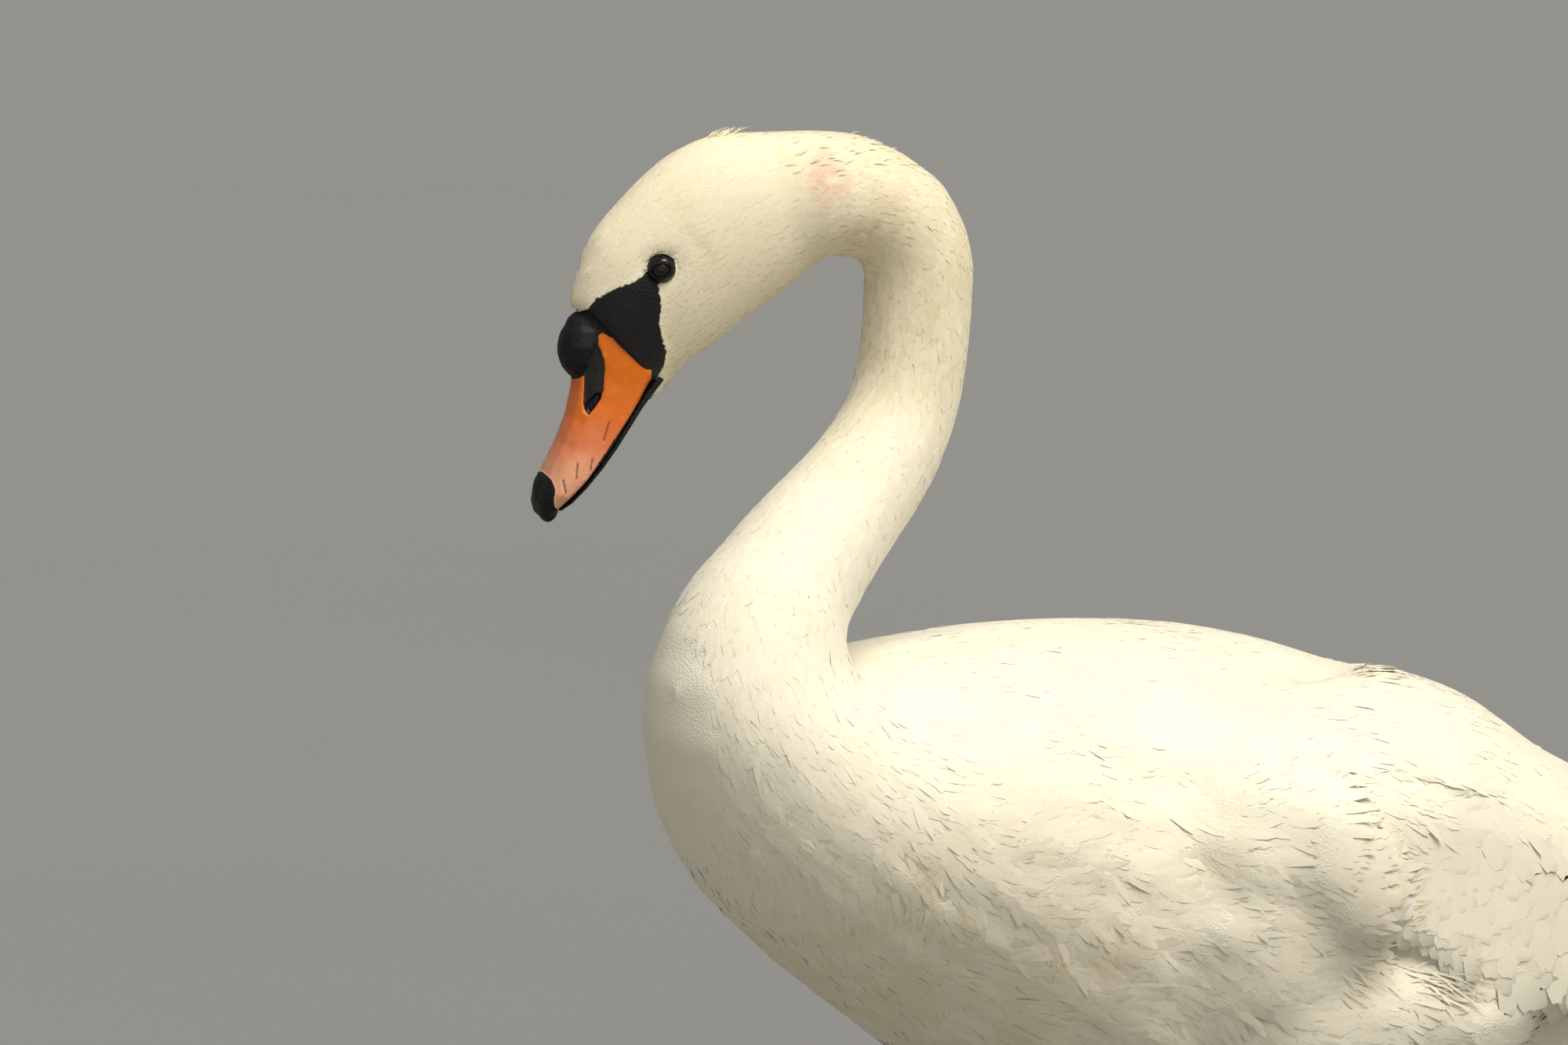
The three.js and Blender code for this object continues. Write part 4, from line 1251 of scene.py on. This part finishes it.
wingShape = {
    # across the folded left wing: y, upper edge x z, widest x z, lower edge x z
    "ribs": [(172, 128, -86, 142, -100, 140, -118), (184, 117, -64, 156, -100, 153, -138),
             (206, 102, -44, 164, -98, 160, -151), (236, 86, -32, 166, -100, 161, -156),
             (275, 66, -30, 166, -108, 160, -180), (330, 42, -44, 163, -120, 156, -203),
             (395, 22, -77, 154, -138, 144, -212), (460, 12, -107, 135, -155, 124, -211),
             (510, 7, -138, 114, -168, 104, -207), (560, 5, -155, 90, -177, 80, -203),
             (610, 4, -160, 65, -182, 57, -198), (655, 5, -168, 44, -184, 38, -195),
             (705, 9, -178, 26, -185, 22, -191)],
    "shoulder": 1.3, "secondaries": 17, "primaries": 10,
    # coverts: first and last row, rows' gap down the bird, how steeply they lie along the wing
    "covertsFrom": 1.9, "covertsTo": 6.3, "covertBand": (0.04, 0.86),
    "covertGap": ([200, 240, 300, 420], [6.0, 8.5, 12.0, 15]),
    "covertDip": ([1.5, 3, 4.5, 6.5], [52, 50, 36, 16]),
}
tailShape = {
    # y, half width, upper z, lower z
    "ribs": [(560, 60, -162, -222), (600, 54, -170, -214), (645, 64, -178, -205), (690, 67, -184, -200),
             (730, 54, -188, -198), (762, 31, -192, -199), (786, 9, -195, -199)],
    "feathers": 20,
    # coverts under and over the roots: level, first and last row, length
    "coverts": [(-0.93, 560, 655, 52), (0.9, 552, 632, 46)], "covertGap": 13,
}


def readRibs(ribs, at):
    # each column of a table read between its rows along a smooth curve
    table = np.array(ribs, float)
    table = np.concatenate([[2 * table[0] - table[1]], table, [2 * table[-1] - table[-2]]])
    at = np.clip(at, 0, len(ribs) - 1.0001)
    k = at.astype(int)
    t = (at - k)[..., None]
    a, b, c, d = (table[k + j] for j in range(4))
    return b + 0.5 * t * (c - a + t * (2 * a - 5 * b + 4 * c - d + t * (3 * (b - c) + d - a)))


def wingPoint(side, t, c):
    # t counts ribs back along the wing, c runs from 0 at the upper edge to 1 at the lower
    row = readRibs(wingShape["ribs"], np.asarray(t, float))
    angle = (np.clip(c, 0, 1) * 2 - 1) * math.pi / 2
    upper = angle < 0
    edgeX = np.where(upper, row[..., 1], row[..., 5])
    edgeZ = np.where(upper, row[..., 2], row[..., 6])
    slope = np.where(upper, wingShape["shoulder"], 1.0)
    x = edgeX + (row[..., 3] - edgeX) * np.cos(angle)
    z = row[..., 4] + (edgeZ - row[..., 4]) * np.abs(np.sin(angle)) ** slope
    return np.stack([side * x, row[..., 0], z], -1)


def wingNormal(side, t, c):
    along = wingPoint(side, t + 0.05, c) - wingPoint(side, t - 0.05, c)
    down = wingPoint(side, t, np.clip(c + 0.01, 0, 1)) - wingPoint(side, t, np.clip(c - 0.01, 0, 1))
    return unit(np.cross(down, along) * side)


def wingDepth(t):
    # how far it is down the outside of the wing, upper edge to lower
    c = np.linspace(0, 1, 25)
    p = wingPoint(1, np.asarray(t, float)[..., None] + 0 * c, 0 * np.asarray(t, float)[..., None] + c)
    return np.linalg.norm(np.diff(p, axis=-2), axis=-1).sum(-1)


def layQuills(side, vane, rows):
    # rows: root t c, tip t c, half width mm, height at root and tip mm
    rows = np.array(rows, float)
    u, v, crown = vane.points[:, 0], vane.points[:, 1], vane.points[:, 2]
    t0, c0, t1, c1, wide, low, high = (rows[:, k][:, None] for k in range(7))
    t = t0 + (t1 - t0) * u
    c = c0 + (c1 - c0) * u + v * wide / wingDepth(np.clip(t, 0, 12))
    c = np.clip(c, 0.0, 1.0)
    height = low + (high - low) * u + 0.5 * crown - 0.25 * v**2
    ways = wingNormal(side, t, c)
    return toRoom(wingPoint(side, t, c) + ways * height[..., None]), ways


def quillCoat(name, side, rows, rng, material, replaced=()):
    laid = layQuills(side, quill, rows)
    uv = np.stack([0.1 + 0.8 * np.array([r[0] / 12 for r in rows]), 0.05 + 0.9 * np.array([r[1] for r in rows])], 1)
    coat = Coat(name)
    coat.add(quill, laid, rng.random(len(rows)) * 0.5, uv)
    coat.finish(material, replaced)


def wingRow(t):
    return float(readRibs(wingShape["ribs"], np.array(t))[0])


def covertSites(rng):
    # staggered rows: place along and down the wing, and the gap there
    sites = []
    t, odd = wingShape["covertsFrom"], 0
    upper, lower = wingShape["covertBand"]
    while t < wingShape["covertsTo"]:
        gap = np.interp(wingRow(t), *wingShape["covertGap"])
        count = max(3, int(float(wingDepth(np.array(t))) / gap))
        for k in range(count):
            c = (k + 0.5 * (odd % 2) + 0.25) / count
            if upper < c < lower:
                sites.append((t + rng.normal(0, 0.02), c + rng.normal(0, 0.006), gap))
        t += gap * 0.86 / max(wingRow(t + 0.5) - wingRow(t - 0.5), 10)
        odd += 1
    sites = np.array(sites)
    return sites[onPanel(wingPoint(1, sites[:, 0], sites[:, 1]), panel["covertEdge"])].T


def wingPieces(side, name, material):
    rng = np.random.default_rng(40 + side)
    # secondaries with the tertials over them: root and tip along and down the wing, half width, heights
    rows = []
    for share in np.arange(wingShape["secondaries"]) / (wingShape["secondaries"] - 1):
        rows.append((4.3 + 0.9 * share, 0.95 - 0.72 * share, 9.75 - 0.9 * share + rng.normal(0, 0.08),
                     0.90 - 0.55 * share, 13 + 3 * share, -2.6 + 0.9 * share, -2.2 + 1.9 * share))
    quillCoat("flight_feathers_" + name, side, rows, rng, material)
    # primaries, each lying over the next lower one
    rows = []
    for share in np.arange(wingShape["primaries"]) / (wingShape["primaries"] - 1):
        rows.append((8.7, 0.92 - 0.72 * share, 10.6 + 1.35 * share + rng.normal(0, 0.04), 0.80 - 0.5 * share, 9.5,
                     -3.4 + 2.2 * share, -2.2 + 1.9 * share))
    quillCoat("primary_feathers_" + name, side, rows, rng, material, ["primaries_" + name])
    # coverts, pointing down near the wrist and back further on
    t, c, gap = covertSites(rng)
    p = wingPoint(side, t, c)
    back = unit(wingPoint(side, t + 0.05, c) - wingPoint(side, t - 0.05, c))
    down = unit(wingPoint(side, t, np.clip(c + 0.02, 0, 1)) - wingPoint(side, t, np.clip(c - 0.02, 0, 1)))
    dip = np.radians(np.interp(t, *wingShape["covertDip"]))[:, None]
    lay = unit(back * np.cos(dip) + down * np.sin(dip))
    base = [ground.tree.find_nearest(q)[:2] for q in toRoom(p)]
    start, n = (np.array([b[k] for b in base]) for k in (0, 1))
    count = len(t)
    length, width = gap * 2.5 * rng.uniform(0.93, 1.07, count), gap * 0.72 * rng.uniform(0.95, 1.05, count)
    laid = plant(ground, start, n, lay, length, width, 0.3 + 0.018 * gap, 0.16 + 0 * gap, rng, leaf, 0.03)
    uv = np.stack([0.05 + 0.9 * t / 8, 0.05 + 0.9 * c], 1)
    coat = Coat("wing_coverts_" + name)
    coat.add(leaf, laid, rng.random(count) * 0.6, uv)
    coat.finish(material)


def tailHeight(x, y, level):
    ribs = np.array(tailShape["ribs"], float)
    half, top, low = (np.interp(y, ribs[:, 0], ribs[:, k]) for k in (1, 2, 3))
    over = np.sqrt(np.clip(1 - (x / (half + 6)) ** 2, 0.0, 1))
    return (top + low) / 2 + level * (top - low) / 2 * over


def layTail(vane, rows, up):
    # rows: root x y, tip x y, half width, level at root and at tip
    rows = np.array(rows, float)
    u, v, crown = vane.points[:, 0], vane.points[:, 1], vane.points[:, 2]
    x0, y0, x1, y1, wide, low, high = (rows[:, k][:, None] for k in range(7))
    way = np.hypot(x1 - x0, y1 - y0)
    x = x0 + (x1 - x0) * u + v * wide * (y1 - y0) / way
    y = y0 + (y1 - y0) * u - v * wide * (x1 - x0) / way
    level = low + (high - low) * u
    z = tailHeight(x, y, level) + up * (0.5 * crown - 0.5)
    ways = unit(np.stack([0.25 * x / 60, 0 * x, up + 0 * x], -1))
    return toRoom(np.stack([x, y, z], -1)), ways


def tailPieces(material):
    rng = np.random.default_rng(77)
    rows = []
    for k in range(tailShape["feathers"]):  # outer feathers first and lowest, the middle pair on top
        order = 1 - (k // 2) / 9.5
        fan = order * (1 if k % 2 else -1)
        rows.append((fan * 24, 590, fan * 62, 784 - 88 * abs(fan) ** 1.7, 12.5, 0.35 - 0.5 * abs(fan),
                     0.75 - 1.1 * abs(fan)))
    laid = layTail(quill, rows, 1)
    coat = Coat("tail_feathers")
    spots = np.stack([0.5 + np.array([r[2] for r in rows]) / 200, np.linspace(0.1, 0.4, len(rows))], 1)
    coat.add(quill, laid, rng.random(len(rows)) * 0.5, spots)
    gap = tailShape["covertGap"]
    for level, first, last, reach in tailShape["coverts"]:
        rows = []
        y, odd = first, 0
        while y < last:
            half = np.interp(y, [r[0] for r in tailShape["ribs"]], [r[1] for r in tailShape["ribs"]]) * 0.86
            for x in np.arange(-half + (odd % 2) * (gap / 2), half, gap):
                x = x + rng.normal(0, 0.8)
                rows.append((x, y, x * 1.12, y + reach * rng.uniform(0.9, 1.1), 8.5, level * 0.94, level * 0.99))
            y, odd = y + gap, odd + 1
        up = 1 if level > 0 else -1
        laid = layTail(leaf, rows, up)
        across, along = (np.array([r[k] for r in rows]) for k in (0, 1))
        spots = np.stack([0.5 + across / 200, 0.5 + (along - 560) / 400 * up], 1)
        coat.add(leaf, laid, rng.random(len(rows)) * 0.5, spots)
    coat.finish(material)


for side, name in ((1, "left"), (-1, "right")):
    wingPieces(side, name, whiteCoat)
tailPieces(whiteCoat)
print("wings and tail laid")
